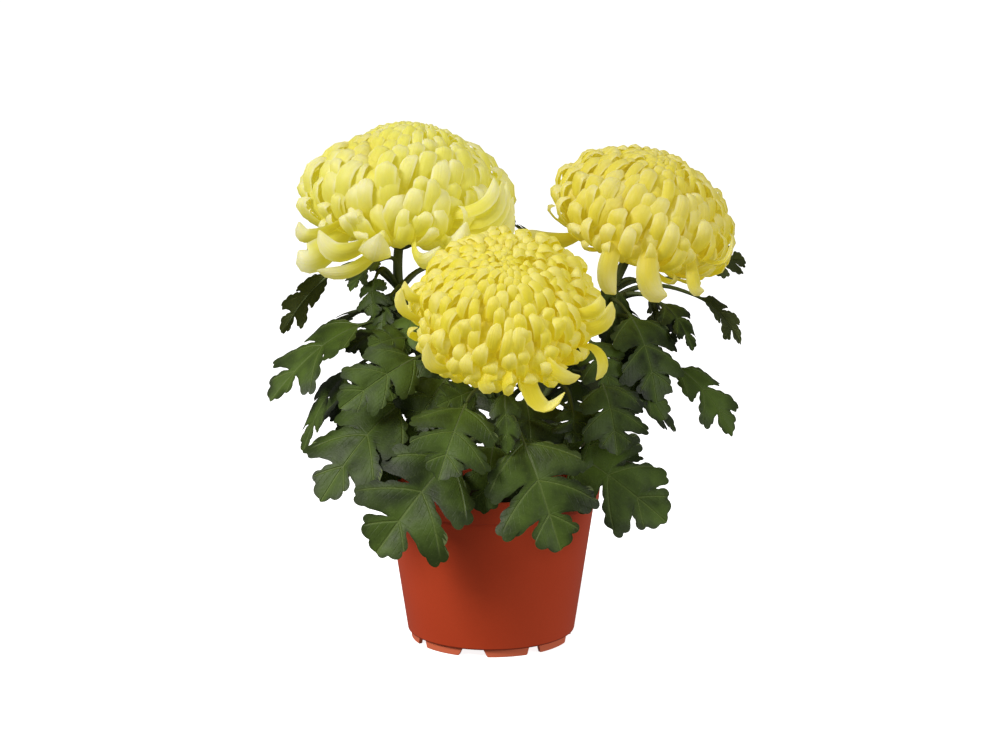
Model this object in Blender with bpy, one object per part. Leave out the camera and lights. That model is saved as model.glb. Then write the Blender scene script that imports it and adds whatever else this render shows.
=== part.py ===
"""Pot chrysanthemum: three large incurved blooms on leafy stems, in a notched plastic pot.

Metres, +Z up. The pot stands on z = 0 and the camera side of the plant is -Y. Shapes are
worked out in the pot's own frame, whose Z axis is the pot's axis, and every piece hangs on
one empty that sets the pot axis beside the middle of the plant's spread.
"""
import math

import bmesh
import bpy
import numpy as np
from mathutils import Vector

MM = 0.001

# Driving dimensions
POT_AXIS = (-14 * MM, 4 * MM)
POT_HEIGHT = 105 * MM
RIM_RADIUS = 70 * MM
RIM_BAND = 14 * MM
BODY_TOP_RADIUS = 66.5 * MM
BODY_BASE_RADIUS = 53.8 * MM
FOOT_RADIUS = 51.6 * MM
FOOT_HEIGHT = 5.3 * MM
FOOT_THICKNESS = 2.4 * MM
WALL = 1.6 * MM
POT_SIDES = 36
NOTCH_TURN = math.radians(-103)
NOTCH_WIDE = 20 * MM
NOTCH_NARROW = 10.5 * MM
DRAIN_RADIUS = 4.5 * MM
DRAIN_CIRCLE = 34 * MM

SOIL_TOP = 92 * MM
SOIL_RELIEF = 1.6 * MM
SOIL_SIDES = 24
SEAT_GAP = 0.3 * MM
HOLE_DEPTH = 30 * MM

STEM_RADIUS = 3.8 * MM
STEM_TOP_RADIUS = 3.0 * MM
STEM_SIDES = 6
CALYX_RADIUS = 13 * MM
CALYX_HEIGHT = 9 * MM
LEAF_THICKNESS = 1.4 * MM
PETIOLE_RADIUS = 1.7 * MM

GOLDEN_ANGLE = math.pi * (3 - math.sqrt(5))
PETALS = 60
PETAL_THICKNESS = 1.8 * MM
PETAL_BREADTH = (0.2, 0.5, 0.26)
PETAL_CUP = 0.42
CORE_SHARE = 0.80
CORE_DEPTH = 20 * MM
SEED = 5

# Each bloom: centre, lean of its axis and the heading of that lean, radius across,
# height above the centre. Lengths in millimetres, angles in degrees, headings from +X.
BLOOMS = {
    "left": {"centre": (-55, 30, 276), "lean": 10, "heading": 30, "radius": 70, "height": 53},
    "right": {"centre": (97, 40, 264), "lean": 22, "heading": -20, "radius": 61, "height": 46},
    "front": {"centre": (9, -72, 224), "lean": 36, "heading": -90, "radius": 58, "height": 44},
}

# Where each stem enters the soil, in millimetres from the pot's axis
STEM_ROOTS = {"left": (-22, 12), "right": (24, 14), "front": (2, -22)}

# Petals that hang loose below a bloom or stand off its side. Each row: root, two points
# that pull the petal into its bend, tip, width, and how far its back turns to the front,
# in degrees. Lengths in millimetres.
LOOSE_PETALS = {
    "left": (
        ((-66, -10, 259), (-76, -26, 244), (-90, -34, 238), (-106, -36, 242), 15, 50),
        ((-61, -20, 276), (-72, -44, 271), (-75, -46, 251), (-57, -44, 257), 20, 0),
        ((-45, -18, 270), (-56, -36, 249), (-40, -40, 241), (-31, -38, 259), 12, 45),
        ((-32, -14, 275), (-34, -32, 255), (-20, -34, 249), (-15, -36, 274), 14, 50),
        ((-91, -15, 269), (-106, -32, 262), (-118, -30, 255), (-115, -34, 268), 16, 50),
        ((-88, -10, 259), (-100, -25, 248), (-115, -24, 241), (-117, -28, 255), 14, 50),
        ((-32, 0, 273), (-7, -20, 266), (17, -14, 271), (14, -6, 295), 11, 55),
        ((-32, -8, 281), (-7, -30, 273), (12, -26, 281), (7, -16, 304), 11, 55),
        ((-35, -16, 288), (-13, -40, 282), (2, -36, 290), (-2, -26, 309), 11, 55),
    ),
    "right": (
        ((84, -5, 262), (73, -20, 256), (69, -22, 233), (78, -18, 226), 13, 60),
        ((103, -10, 259), (92, -26, 248), (98, -26, 223), (110, -22, 226), 15, 60),
        ((125, 0, 251), (127, -12, 240), (126, -14, 224), (134, -10, 227), 9, 60),
        ((126, 5, 251), (139, -6, 236), (155, -4, 240), (152, 0, 260), 9, -25),
        ((57, 30, 256), (44, 10, 253), (28, 8, 254), (21, 12, 262), 12, 40),
    ),
    "front": (
        ((24, -100, 209), (14, -118, 185), (34, -124, 162), (48, -122, 193), 16, -50),
        ((-6, -95, 208), (-21, -108, 187), (-42, -108, 191), (-37, -112, 213), 9, 50),
        ((-30, -80, 222), (-47, -90, 217), (-60, -88, 227), (-53, -92, 242), 9, 40),
        ((-30, -82, 235), (-43, -94, 231), (-53, -92, 236), (-51, -90, 246), 7, 40),
        ((41, -95, 220), (60, -106, 215), (73, -102, 220), (72, -98, 235), 10, 50),
        ((41, -98, 229), (56, -110, 226), (68, -106, 230), (65, -104, 240), 9, 50),
        ((51, -90, 207), (65, -98, 215), (75, -98, 195), (63, -100, 188), 9, 30),
        ((9, -104, 210), (-6, -120, 199), (-7, -120, 185), (3, -120, 187), 14, 40),
        ((12, -106, 207), (6, -122, 193), (6, -122, 182), (14, -122, 188), 13, 30),
    ),
}

# Leaves that show from the front. Each row: stem, height of its joint on the stem, blade
# base, blade tip, width, roll about the midrib in degrees. Lengths in millimetres.
FRONT_LEAVES = (
    ("left", 222, (-97, 15, 237), (-132, -5, 199), 24, 74),
    ("left", 176, (-72, -5, 207), (-138, -30, 160), 56, 14),
    ("left", 156, (-81, -12, 182), (-117, -40, 129), 36, 28),
    ("left", 170, (-41, -45, 193), (-92, -70, 164), 42, -10),
    ("left", 185, (-51, -35, 201), (-75, -50, 199), 26, 0),
    ("left", 135, (-48, -40, 166), (-104, -76, 107), 64, 6),
    ("left", 218, (-72, 0, 236), (-73, -15, 211), 28, 0),
    ("left", 200, (-61, -5, 226), (-68, -22, 201), 20, 0),
    ("left", 150, (-60, -12, 168), (-92, -40, 136), 46, 0),
    ("left", 128, (-38, -32, 150), (-58, -54, 116), 40, 0),
    ("left", 196, (-45, -18, 216), (-56, -42, 188), 28, 0),
    ("left", 205, (-58, 12, 227), (-67, -2, 191), 44, 0),
    ("left", 166, (-37, -12, 188), (-50, -25, 147), 56, 0),
    ("left", 179, (-59, 2, 201), (-92, -8, 187), 38, 0),
    ("left", 221, (-14, 66, 243), (16, 78, 259), 34, -15),
    ("left", 121, (-54, -30, 143), (-66, -62, 112), 44, 0),
    ("left", 222, (-67, 14, 244), (-89, 2, 224), 34, 0),
    ("left", 192, (-46, 30, 214), (-33, 30, 180), 50, 0),
    ("left", 137, (-32, -5, 159), (-26, -15, 119), 60, 0),
    ("front", 116, (-18, -74, 140), (-69, -102, 82), 74, -4),
    ("front", 150, (-14, -80, 171), (-31, -114, 130), 56, 0),
    ("front", 132, (17, -82, 154), (42, -114, 87), 68, 4),
    ("front", 172, (8, -82, 181), (10, -100, 143), 20, 0),
    ("front", 160, (-7, -62, 174), (-33, -76, 167), 26, 0),
    ("front", 124, (2, -58, 142), (-4, -94, 104), 44, 0),
    ("front", 153, (-7, -34, 175), (-18, -50, 137), 52, 0),
    ("front", 145, (21, -36, 167), (25, -60, 130), 54, 0),
    ("front", 157, (-25, -40, 179), (-47, -60, 148), 48, 0),
    ("right", 112, (42, -48, 136), (108, -72, 93), 62, 6),
    ("right", 150, (67, -45, 178), (77, -75, 136), 48, 0),
    ("right", 190, (84, -5, 215), (103, -35, 161), 58, 0),
    ("right", 160, (113, 5, 178), (153, -15, 135), 38, 6),
    ("right", 205, (130, 30, 218), (160, 15, 188), 34, -30),
    ("right", 200, (109, 20, 213), (116, 8, 189), 26, 0),
    ("right", 210, (138, 82, 226), (167, 72, 234), 32, -20),
    ("right", 140, (50, -58, 163), (50, -72, 143), 28, 0),
    ("right", 130, (50, -36, 156), (78, -56, 120), 46, 0),
    ("right", 165, (72, -16, 188), (108, -38, 150), 44, 0),
    ("right", 178, (60, -24, 200), (74, -50, 168), 38, 0),
    ("right", 200, (36, 24, 230), (15, 62, 258), 24, 0),
    ("right", 205, (79, 22, 227), (71, 6, 189), 46, 0),
    ("right", 195, (105, 16, 217), (128, 2, 186), 42, 0),
    ("right", 200, (97, 45, 222), (107, 40, 183), 54, 0),
    ("right", 116, (68, -40, 138), (80, -62, 105), 52, 0),
    ("right", 178, (94, 0, 200), (94, -10, 157), 50, 0),
    ("right", 163, (44, 10, 185), (50, 0, 142), 60, 0),
)

# Leaves of the side away from the camera, by tiers: height of the joint, headings from
# +X, radius and height of the blade base, radius and height of the tip, width.
BACK_TIERS = (
    (112, (26, 64, 118, 156), 50, 134, 104, 92, 62),
    (150, (8, 42, 74, 109, 140, 172), 56, 172, 120, 130, 58),
    (190, (28, 62, 122, 158), 66, 212, 124, 180, 50),
)

# Half a leaf's outline from base to tip: share of the length, share of the half width,
# and the midrib point that its stretch hangs on.
LEAF_RIBS = (0.0, 0.24, 0.46, 0.70, 1.0)
LEAF_EDGE = (
    (0.01, 0.04, 0),
    (0.14, 0.12, 1),
    (0.22, 0.44, 1),
    (0.37, 0.86, 1),
    (0.49, 0.88, 1),
    (0.47, 0.33, 2),
    (0.58, 0.72, 2),
    (0.73, 0.90, 2),
    (0.81, 0.68, 2),
    (0.75, 0.27, 3),
    (0.87, 0.44, 3),
    (0.95, 0.26, 3),
)


def material(name, colour, roughness):
    """A plain Principled finish."""
    made = bpy.data.materials.new(name)
    made.use_nodes = True
    shader = made.node_tree.nodes["Principled BSDF"]
    shader.inputs["Base Color"].default_value = (*colour, 1)
    shader.inputs["Roughness"].default_value = roughness
    shader.inputs["Metallic"].default_value = 0
    made.diffuse_color = (*colour, 1)
    return made


def unit(vector):
    return vector / np.linalg.norm(vector, axis=-1, keepdims=True)


def mesh_object(name, points, faces, collection=None):
    """An object of these points and faces, with the faces turned outwards."""
    mesh = bpy.data.meshes.new(name)
    mesh.from_pydata(np.asarray(points).tolist(), [], faces)
    shaped = bmesh.new()
    shaped.from_mesh(mesh)
    bmesh.ops.recalc_face_normals(shaped, faces=shaped.faces)
    shaped.to_mesh(mesh)
    shaped.free()
    made = bpy.data.objects.new(name, mesh)
    (collection or bpy.context.scene.collection).objects.link(made)
    return made


def finish(piece, look, axis, sharp=40):
    """Gives a piece its material and smooth shading, and hangs it on the pot axis."""
    piece.data.materials.clear()
    piece.data.materials.append(look)
    piece.data.shade_smooth()
    piece.data.set_sharp_from_angle(angle=math.radians(sharp))
    piece.parent = axis
    return piece


def fuse(name, solids, look, axis):
    """One closed body out of many solids, each given as points and faces."""
    piece = mesh_object(name, *solids[0])
    extras = bpy.data.collections.new(name + "_extras")
    for number, solid in enumerate(solids[1:]):
        mesh_object(f"{name}_extra_{number}", *solid, collection=extras)
    joined = piece.modifiers.new("join", "BOOLEAN")
    joined.operation = "UNION"
    joined.operand_type = "COLLECTION"
    joined.collection = extras
    joined.solver = "MANIFOLD"
    graph = bpy.context.evaluated_depsgraph_get()
    whole = bpy.data.meshes.new_from_object(piece.evaluated_get(graph))
    whole.name = name
    piece.modifiers.clear()
    piece.data = whole
    keep_main_shell(whole)
    for extra in list(extras.objects):
        bpy.data.objects.remove(extra)
    bpy.data.collections.remove(extras)
    return finish(piece, look, axis)


def keep_main_shell(mesh):
    """Fills pockets that the union sealed, and drops loose scraps: one shell stays.

    Points midway along a straight edge go first, because the faces on both sides would
    be split there into slivers that share all their edges.
    """
    shaped = bmesh.new()
    shaped.from_mesh(mesh)
    midway = [vertex for vertex in shaped.verts if len(vertex.link_edges) == 2]
    bmesh.ops.dissolve_verts(shaped, verts=midway)
    unseen = set(shaped.faces)
    shells = []
    while unseen:
        rim = [unseen.pop()]
        shell = list(rim)
        while rim:
            for edge in rim.pop().edges:
                for face in edge.link_faces:
                    if face in unseen:
                        unseen.remove(face)
                        shell.append(face)
                        rim.append(face)
        shells.append(shell)
    shells.sort(key=len)
    scraps = [face for shell in shells[:-1] for face in shell]
    bmesh.ops.delete(shaped, geom=scraps, context="FACES")
    shaped.to_mesh(mesh)
    shaped.free()


def cutter_collection(name, solids, axis):
    """Wire cutters for a Boolean, kept out of the render."""
    cutters = bpy.data.collections.new(name)
    bpy.context.scene.collection.children.link(cutters)
    cutters.hide_render = True
    for number, solid in enumerate(solids):
        cutter = mesh_object(f"{name}_{number}", *solid, collection=cutters)
        cutter.display_type = "WIRE"
        cutter.hide_render = True
        cutter.parent = axis
    return cutters


def rings(sections):
    """Faces that skin a stack of equal rings of points, capped at both ends."""
    count, sides = sections.shape[:2]
    faces = []
    for ring in range(count - 1):
        for side in range(sides):
            near = ring * sides + side
            beside = ring * sides + (side + 1) % sides
            faces.append((near, beside, beside + sides, near + sides))
    faces.append(tuple(range(sides)))
    last = (count - 1) * sides
    faces.append(tuple(range(last, last + sides)))
    return sections.reshape(-1, 3), faces


def tube(path, radii, sides):
    """A round rod along a path: rings square to the path, one radius for each point."""
    along = unit(np.gradient(path, axis=0))
    side = unit(np.cross(along, (0.31, 0.87, 0.38)))
    up = np.cross(along, side)
    turn = np.arange(sides) * 2 * math.pi / sides
    circle = np.cos(turn)[:, None] * side[:, None] + np.sin(turn)[:, None] * up[:, None]
    return rings(path[:, None] + np.asarray(radii)[:, None, None] * circle)


def bezier(points, steps):
    """Points along the cubic curve through four control points."""
    share = np.linspace(0, 1, steps)[:, None]
    a, b, c, d = (np.asarray(point, float) for point in points)
    rest = 1 - share
    return rest**3 * a + 3 * rest**2 * share * b + 3 * rest * share**2 * c + share**3 * d


def lathe(profile, sides):
    """A solid turned about Z from rows of radius and height, closed across both ends."""
    turn = np.arange(sides) * 2 * math.pi / sides
    radius, height = np.asarray(profile).T
    points = np.stack(
        [radius[:, None] * np.cos(turn), radius[:, None] * np.sin(turn), height[:, None] + 0 * turn],
        axis=-1,
    )
    return rings(points)


def pot(axis, look):
    """The pot: a tapered wall with a rim band, a raised floor and a notched foot ring."""
    inner_base = BODY_BASE_RADIUS - WALL
    band_base = POT_HEIGHT - RIM_BAND
    floor_top = FOOT_HEIGHT + WALL
    profile = (
        (0, floor_top),
        (inner_base - WALL, floor_top),
        (inner_base, floor_top + WALL),
        (BODY_TOP_RADIUS - WALL, band_base - WALL),
        (RIM_RADIUS - 2 * WALL, band_base + WALL),
        (RIM_RADIUS - 1.5 * WALL, POT_HEIGHT - WALL / 2),
        (RIM_RADIUS - WALL, POT_HEIGHT),
        (RIM_RADIUS, POT_HEIGHT),
        (RIM_RADIUS + WALL / 4, POT_HEIGHT - WALL / 2),
        (RIM_RADIUS - WALL / 2, band_base),
        (BODY_TOP_RADIUS, band_base - WALL / 4),
        (BODY_BASE_RADIUS, FOOT_HEIGHT + WALL / 2),
        (BODY_BASE_RADIUS - WALL / 4, FOOT_HEIGHT),
        (FOOT_RADIUS, FOOT_HEIGHT),
        (FOOT_RADIUS, 0),
        (FOOT_RADIUS - FOOT_THICKNESS, 0),
        (FOOT_RADIUS - FOOT_THICKNESS, FOOT_HEIGHT),
        (0, FOOT_HEIGHT),
    )
    mesh = bpy.data.meshes.new("pot")
    edges = [(number, number + 1) for number in range(len(profile) - 1)]
    mesh.from_pydata([(radius, 0, height) for radius, height in profile], edges, [])
    piece = bpy.data.objects.new("pot", mesh)
    bpy.context.scene.collection.objects.link(piece)
    turned = piece.modifiers.new("turn", "SCREW")
    turned.steps = POT_SIDES
    turned.render_steps = POT_SIDES
    turned.use_merge_vertices = True
    turned.merge_threshold = 0.00001
    cut = piece.modifiers.new("notches and drains", "BOOLEAN")
    cut.operand_type = "COLLECTION"
    cut.collection = cutter_collection("pot_cutters", notches() + drains(), axis)
    return finish(piece, look, axis, sharp=35)


def notches():
    """Trapezoid bars through the foot ring, wide and narrow by turns."""
    solids = []
    top = FOOT_HEIGHT - 0.1 * MM
    for number in range(8):
        turn = NOTCH_TURN + number * math.pi / 4
        half = (NOTCH_NARROW if number % 2 else NOTCH_WIDE) / 2
        across = ((-half, -2 * MM), (half, -2 * MM), (half * 0.62, top), (-half * 0.62, top))
        out = np.array((math.cos(turn), math.sin(turn), 0))
        side = np.array((-math.sin(turn), math.cos(turn), 0))
        sections = np.array(
            [
                [reach * out + offset * side + (0, 0, height) for offset, height in across]
                for reach in (FOOT_RADIUS - 3 * FOOT_THICKNESS, FOOT_RADIUS + 2 * FOOT_THICKNESS)
            ]
        )
        solids.append(rings(sections))
    return solids


def drains():
    """Round drain holes in the pot's floor, one in line with each wide notch."""
    solids = []
    for number in range(4):
        turn = NOTCH_TURN + number * math.pi / 2
        points, faces = lathe(((DRAIN_RADIUS, 0), (DRAIN_RADIUS, 4 * FOOT_HEIGHT)), 10)
        centre = (DRAIN_CIRCLE * math.cos(turn), DRAIN_CIRCLE * math.sin(turn), 0)
        solids.append((points + centre, faces))
    return solids


def soil_height(x, y):
    """The crumbly top of the soil: three crossed waves, lowest towards the rim."""
    waves = (
        np.sin(230 * x + 1.3) * np.cos(190 * y)
        + np.sin(410 * y + 300 * x)
        + 0.6 * np.cos(560 * x - 240 * y)
    )
    return SOIL_TOP + SOIL_RELIEF * waves / 2.6 - 0.4 * np.hypot(x, y) ** 2


def soil(axis, look):
    """The root ball fills the pot to below the rim, with a plain hole for each stem."""
    bottom = FOOT_HEIGHT + WALL + SEAT_GAP
    inner_base = BODY_BASE_RADIUS - WALL - 2 * SEAT_GAP
    slope = (BODY_TOP_RADIUS - BODY_BASE_RADIUS) / (POT_HEIGHT - RIM_BAND - FOOT_HEIGHT)
    base = inner_base - WALL
    edge_height = POT_HEIGHT - RIM_BAND - 3 * WALL
    edge = inner_base + slope * (edge_height - bottom) - SEAT_GAP
    turn = np.arange(SOIL_SIDES) * 2 * math.pi / SOIL_SIDES
    circle = np.stack([np.cos(turn), np.sin(turn), 0 * turn], axis=-1)
    levels = [base * circle + (0, 0, bottom), inner_base * circle + (0, 0, bottom + 2 * WALL)]
    levels.append(edge * circle + (0, 0, edge_height))
    for share in (0.96, 0.78, 0.58, 0.38, 0.18):
        ring = share * edge * circle
        ring[:, 2] = soil_height(ring[:, 0], ring[:, 1])
        levels.append(ring)
    piece = mesh_object("potting_soil", *rings(np.array(levels)))
    holes = []
    for x, y in STEM_ROOTS.values():
        radius = STEM_RADIUS + SEAT_GAP
        points, faces = lathe(((radius, SOIL_TOP - HOLE_DEPTH), (radius, POT_HEIGHT)), 12)
        holes.append((points + (x * MM, y * MM, 0), faces))
    cut = piece.modifiers.new("stem holes", "BOOLEAN")
    cut.operand_type = "COLLECTION"
    cut.collection = cutter_collection("soil_cutters", holes, axis)
    return finish(piece, look, axis, sharp=60)


def bloom_frame(which):
    """Centre of a bloom, and the matrix that turns its own axes into the pot's."""
    bloom = BLOOMS[which]
    lean = math.radians(bloom["lean"])
    heading = math.radians(bloom["heading"])
    up = Vector(
        (math.sin(lean) * math.cos(heading), math.sin(lean) * math.sin(heading), math.cos(lean))
    )
    turn = Vector((0, 0, 1)).rotation_difference(up).to_matrix()
    return np.array(bloom["centre"]) * MM, np.array(turn)


def stem_path(which, steps):
    """From the bottom of its hole straight up, then in one bend to under the bloom."""
    x, y = STEM_ROOTS[which]
    centre, turn = bloom_frame(which)
    up = turn @ (0, 0, 1)
    foot = np.array((x * MM, y * MM, SOIL_TOP - HOLE_DEPTH + SEAT_GAP))
    ground = foot + (0, 0, HOLE_DEPTH + 4 * MM)
    head = centre - up * (CORE_DEPTH + CALYX_HEIGHT / 2)
    rise = head[2] - ground[2]
    bend = bezier((ground, ground + (0, 0, 0.45 * rise), head - up * 0.4 * rise, head), steps)
    return np.vstack([foot, bend])


def calyx(which):
    """The green cup under a bloom, flat on top where the bloom sits."""
    centre, turn = bloom_frame(which)
    top = -CORE_DEPTH - SEAT_GAP
    profile = (
        (0.6 * STEM_TOP_RADIUS, top - CALYX_HEIGHT),
        (0.45 * CALYX_RADIUS, top - 0.8 * CALYX_HEIGHT),
        (0.85 * CALYX_RADIUS, top - 0.35 * CALYX_HEIGHT),
        (CALYX_RADIUS, top),
    )
    points, faces = lathe(profile, 10)
    return points @ turn.T + centre, faces


def leaf_axes(base, tip, roll):
    """Along the midrib, across it, and out of the upper face of a leaf."""
    along = unit(tip - base)
    middle = (base + tip) / 2
    outwards = unit(np.array((middle[0], middle[1], 0)))
    forwards = np.clip((30 * MM - middle[1]) / (60 * MM), 0, 1)
    upwards = 0.55 * outwards + np.array((0, -0.75 * forwards, 0.62))
    across = unit(np.cross(upwards, along))
    face = np.cross(along, across)
    turn = math.radians(roll)
    return (
        along,
        math.cos(turn) * across + math.sin(turn) * face,
        math.cos(turn) * face - math.sin(turn) * across,
    )


def blade_points(base, tip, width, roll, u, v):
    """A leaf surface at shares u of its length and v of its half width.

    The midrib is an arc that rises over the straight line from base to tip, each half
    lifts off the midrib as a shallow V, and the lobes' ends fall again.
    """
    along, across, face = leaf_axes(base, tip, roll)
    length = np.linalg.norm(tip - base)
    lift = 0.42 * length * u * (1 - u) * (1.25 - 0.5 * u)
    fold = width * (0.15 * np.abs(v) - 0.17 * v**2)
    return (
        base
        + u[:, None] * length * along
        + (v * width / 2)[:, None] * across
        + (lift + fold)[:, None] * face
    )


def stalk_rings(stem, joint, base, tip, width, roll):
    """Square rings of a leaf stalk, from inside the stem to the start of the blade."""
    start = stem[np.argmin(np.abs(stem[:, 2] - joint))]
    shares = np.array((0.0, 0.1))
    near, far = blade_points(base, tip, width, roll, shares, 0 * shares)
    along = unit(far - near)
    rise = np.array((0, 0, 0.25 * np.linalg.norm(near - start)))
    reach = 0.4 * np.linalg.norm(near - start)
    path = bezier((start, start + (near - start) / 3 + rise, near - along * reach, near), 4)[:3]
    tangent = unit(np.gradient(np.vstack([path, near]), axis=0))[:3]
    sides = [leaf_axes(base, tip, roll)[1]]
    for onwards in tangent[::-1]:
        sides.insert(0, unit(sides[0] - onwards * (sides[0] @ onwards)))
    side = np.array(sides[:-1])
    up = np.cross(tangent, side)
    radii = PETIOLE_RADIUS * np.array((1.3, 1, 0.85))[:, None]
    return np.stack(
        [path + radii * up, path + radii * side, path - radii * up, path - radii * side], axis=1
    )


def leaf_solid(stem, joint, base, tip, width, roll):
    """A stalk and its lobed blade: thickest along the midrib, thin at the cut edge."""
    stalk = stalk_rings(stem, joint, base, tip, width, roll)
    points, faces = rings(stalk)
    faces.pop()
    face = leaf_axes(base, tip, roll)[2]
    edge = np.array(LEAF_EDGE)
    ribs = np.array(LEAF_RIBS)
    middle = blade_points(base, tip, width, roll, ribs, 0 * ribs)
    half = face * LEAF_THICKNESS / 2
    left = blade_points(base, tip, width, roll, edge[:, 0], edge[:, 1])
    right = blade_points(base, tip, width, roll, edge[:, 0], -edge[:, 1])
    first = len(points)
    count, last_rib = len(edge), len(ribs) - 1
    over = [first + rib for rib in range(last_rib)]
    under = [first + last_rib + rib for rib in range(last_rib)]
    tip_point = first + 2 * last_rib
    edges = [[tip_point + 1 + side * count + number for number in range(count)] for side in (0, 1)]
    hooks = [int(row[2]) for row in LEAF_EDGE] + [last_rib]
    for line in edges:
        outline = line + [tip_point]
        for rib_line in (over, under):
            for number in range(count):
                hook, hook_after = hooks[number], hooks[number + 1]
                faces.append((rib_line[hook], outline[number], outline[number + 1]))
                if hook != hook_after < last_rib:
                    faces.append((rib_line[hook], outline[number + 1], rib_line[hook_after]))
    last_ring = [first - 4, first - 3, first - 2, first - 1]
    blade_ring = [over[0], edges[0][0], under[0], edges[1][0]]
    for number in range(4):
        after = (number + 1) % 4
        faces.append((last_ring[number], last_ring[after], blade_ring[after], blade_ring[number]))
    points = np.vstack([points, middle[:-1] + half, middle[:-1] - half, middle[-1:], left, right])
    return points, faces


def leaf_rows(which):
    """Every leaf of a stem: height of its joint, blade base, blade tip, width and roll."""
    for stem, joint, base, tip, width, roll in FRONT_LEAVES:
        if stem == which:
            yield joint * MM, np.array(base) * MM, np.array(tip) * MM, width * MM, roll
    for joint, headings, base_radius, base_height, tip_radius, tip_height, width in BACK_TIERS:
        for number, heading in enumerate(headings):
            if ("right" if heading < 90 else "left") != which:
                continue
            out = np.array((math.cos(math.radians(heading)), math.sin(math.radians(heading)), 0))
            base = out * base_radius + (0, 0, base_height)
            tip = out * tip_radius + (0, 0, tip_height)
            yield (joint + 5 * number) * MM, base * MM, tip * MM, width * MM, 0


def leafy_stem(which, axis, look):
    """A stem with its calyx cup, petioles and leaves, as one body."""
    path = stem_path(which, 9)
    radii = np.linspace(STEM_RADIUS, STEM_TOP_RADIUS, len(path))
    fine = stem_path(which, 90)
    solids = [tube(path, radii, STEM_SIDES), calyx(which)]
    for joint, base, tip, width, roll in leaf_rows(which):
        solids.append(leaf_solid(fine, joint, base, tip, width, roll))
    return fuse(f"stem_{which}", solids, look, axis)


def envelope(which, polar):
    """Distance from a bloom's centre to its outside: a dome above, shallower below."""
    bloom = BLOOMS[which]
    axial = np.where(polar < math.pi / 2, bloom["height"], 0.56 * bloom["radius"])
    return MM / np.hypot(np.sin(polar) / bloom["radius"], np.cos(polar) / axial)


def bloom_core(which):
    """The hidden heart of a bloom, a smaller dome with a flat underside."""
    polar = np.radians(np.array((112, 90, 68, 46, 24, 6)))
    distance = CORE_SHARE * envelope(which, polar)
    profile = [(0.9 * CALYX_RADIUS, -CORE_DEPTH)]
    profile += list(zip(distance * np.sin(polar), distance * np.cos(polar)))
    return lathe(profile, 14)


def channel(path, side, out, width):
    """A keeled sheet along three points of a path, its back on the side that out names."""
    along = unit(np.gradient(path, axis=0))
    side = unit(side - along * np.sum(side * along, axis=1, keepdims=True))
    back = np.cross(side, along)
    back *= np.sign(np.sum(back * out, axis=1, keepdims=True))
    half = width * np.array(PETAL_BREADTH)[:, None]
    cup = PETAL_CUP * half * back
    inner = path - np.minimum(PETAL_THICKNESS, 0.9 * half) * back
    return rings(np.stack([path - half * side - cup, path, path + half * side - cup, inner], axis=1))


def petal(which, turn, polar, reach, width, sway):
    """An incurved petal: a keeled channel that climbs the dome and curls in at its tip."""
    lags = np.radians(np.array((22, 4, -14)))
    lags[2] = max(lags[2], -0.8 * polar - 0.05)
    angle = np.minimum(polar + lags, math.radians(142))
    shares = np.array((0.7, 1, 0.93)) * np.array((1, reach, reach))
    distance = shares * envelope(which, angle)
    heading = turn + sway * np.array((0, 0.7, 1))
    path = distance[:, None] * np.stack(
        [np.sin(angle) * np.cos(heading), np.sin(angle) * np.sin(heading), np.cos(angle)], axis=-1
    )
    side = np.stack([-np.sin(heading), np.cos(heading), 0 * heading], axis=-1)
    return channel(path, side, path, width)


def loose_petal(root, pull, bend, tip, width, facing):
    """A petal along a cubic curve, its back on the outside of the bend, turned about it."""
    path = bezier(np.array((root, pull, bend, tip)) * MM, 6)[1::2]
    plane = unit(np.cross(path[2] - path[0], path[1] - path[0]))
    plane = plane if plane[1] > 0 else -plane
    out = path - (path[0] + path[2]) / 2
    along = unit(np.gradient(path, axis=0))
    back = np.cross(along, plane)
    back *= np.sign(np.sum(back * out, axis=1, keepdims=True))
    turn = math.radians(facing)
    side = plane * math.cos(turn) + back * math.sin(turn)
    return channel(path, side, back * math.cos(turn) - plane * math.sin(turn), width * MM)


def bloom(which, axis, look):
    """A bloom: petals spiral out from its middle by the golden angle over the core."""
    draw = np.random.default_rng(SEED + len(which))
    solids = [bloom_core(which)]
    outer = 0.35 * BLOOMS[which]["radius"] * MM
    for number in range(PETALS):
        share = (number + 0.5) / PETALS
        polar = math.radians(119) * share**0.58
        loose = share**2
        reach = 1 + 0.07 * loose * draw.uniform(-1, 1)
        sway = math.radians(9) * (0.3 + loose) * draw.uniform(-1, 1)
        width = outer * (0.42 + 0.58 * share**0.6) * draw.uniform(0.92, 1.08)
        turn = number * GOLDEN_ANGLE
        solids.append(petal(which, turn, polar, reach, width, sway))
    centre, frame = bloom_frame(which)
    placed = [(points @ frame.T + centre, faces) for points, faces in solids]
    placed += [loose_petal(*row) for row in LOOSE_PETALS[which]]
    return fuse(f"bloom_{which}", placed, look, axis)


def main():
    for old in list(bpy.data.objects):
        bpy.data.objects.remove(old)
    axis = bpy.data.objects.new("pot_axis", None)
    axis.location = (*POT_AXIS, 0)
    bpy.context.scene.collection.objects.link(axis)
    bpy.context.view_layer.update()
    pot(axis, material("terracotta_plastic", (0.48, 0.09, 0.03), 0.45))
    soil(axis, material("potting_soil", (0.035, 0.022, 0.014), 0.95))
    for which in BLOOMS:
        leafy_stem(which, axis, material(f"leaf_{which}", (0.05, 0.11, 0.025), 0.55))
        bloom(which, axis, material(f"petal_{which}", (0.82, 0.74, 0.09), 0.5))


if __name__ == "__main__":
    main()
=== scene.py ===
# %% [markdown]
# # A pot chrysanthemum
#
# Three large incurved blooms stand on leafy stems in a round plastic pot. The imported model
# already has every solid at its real size, so this script only dresses it: each rough solid
# is hidden and a finer surface with the same form takes its place.
#
# We load the model first, because every other step measures from it.

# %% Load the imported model
import math

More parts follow.
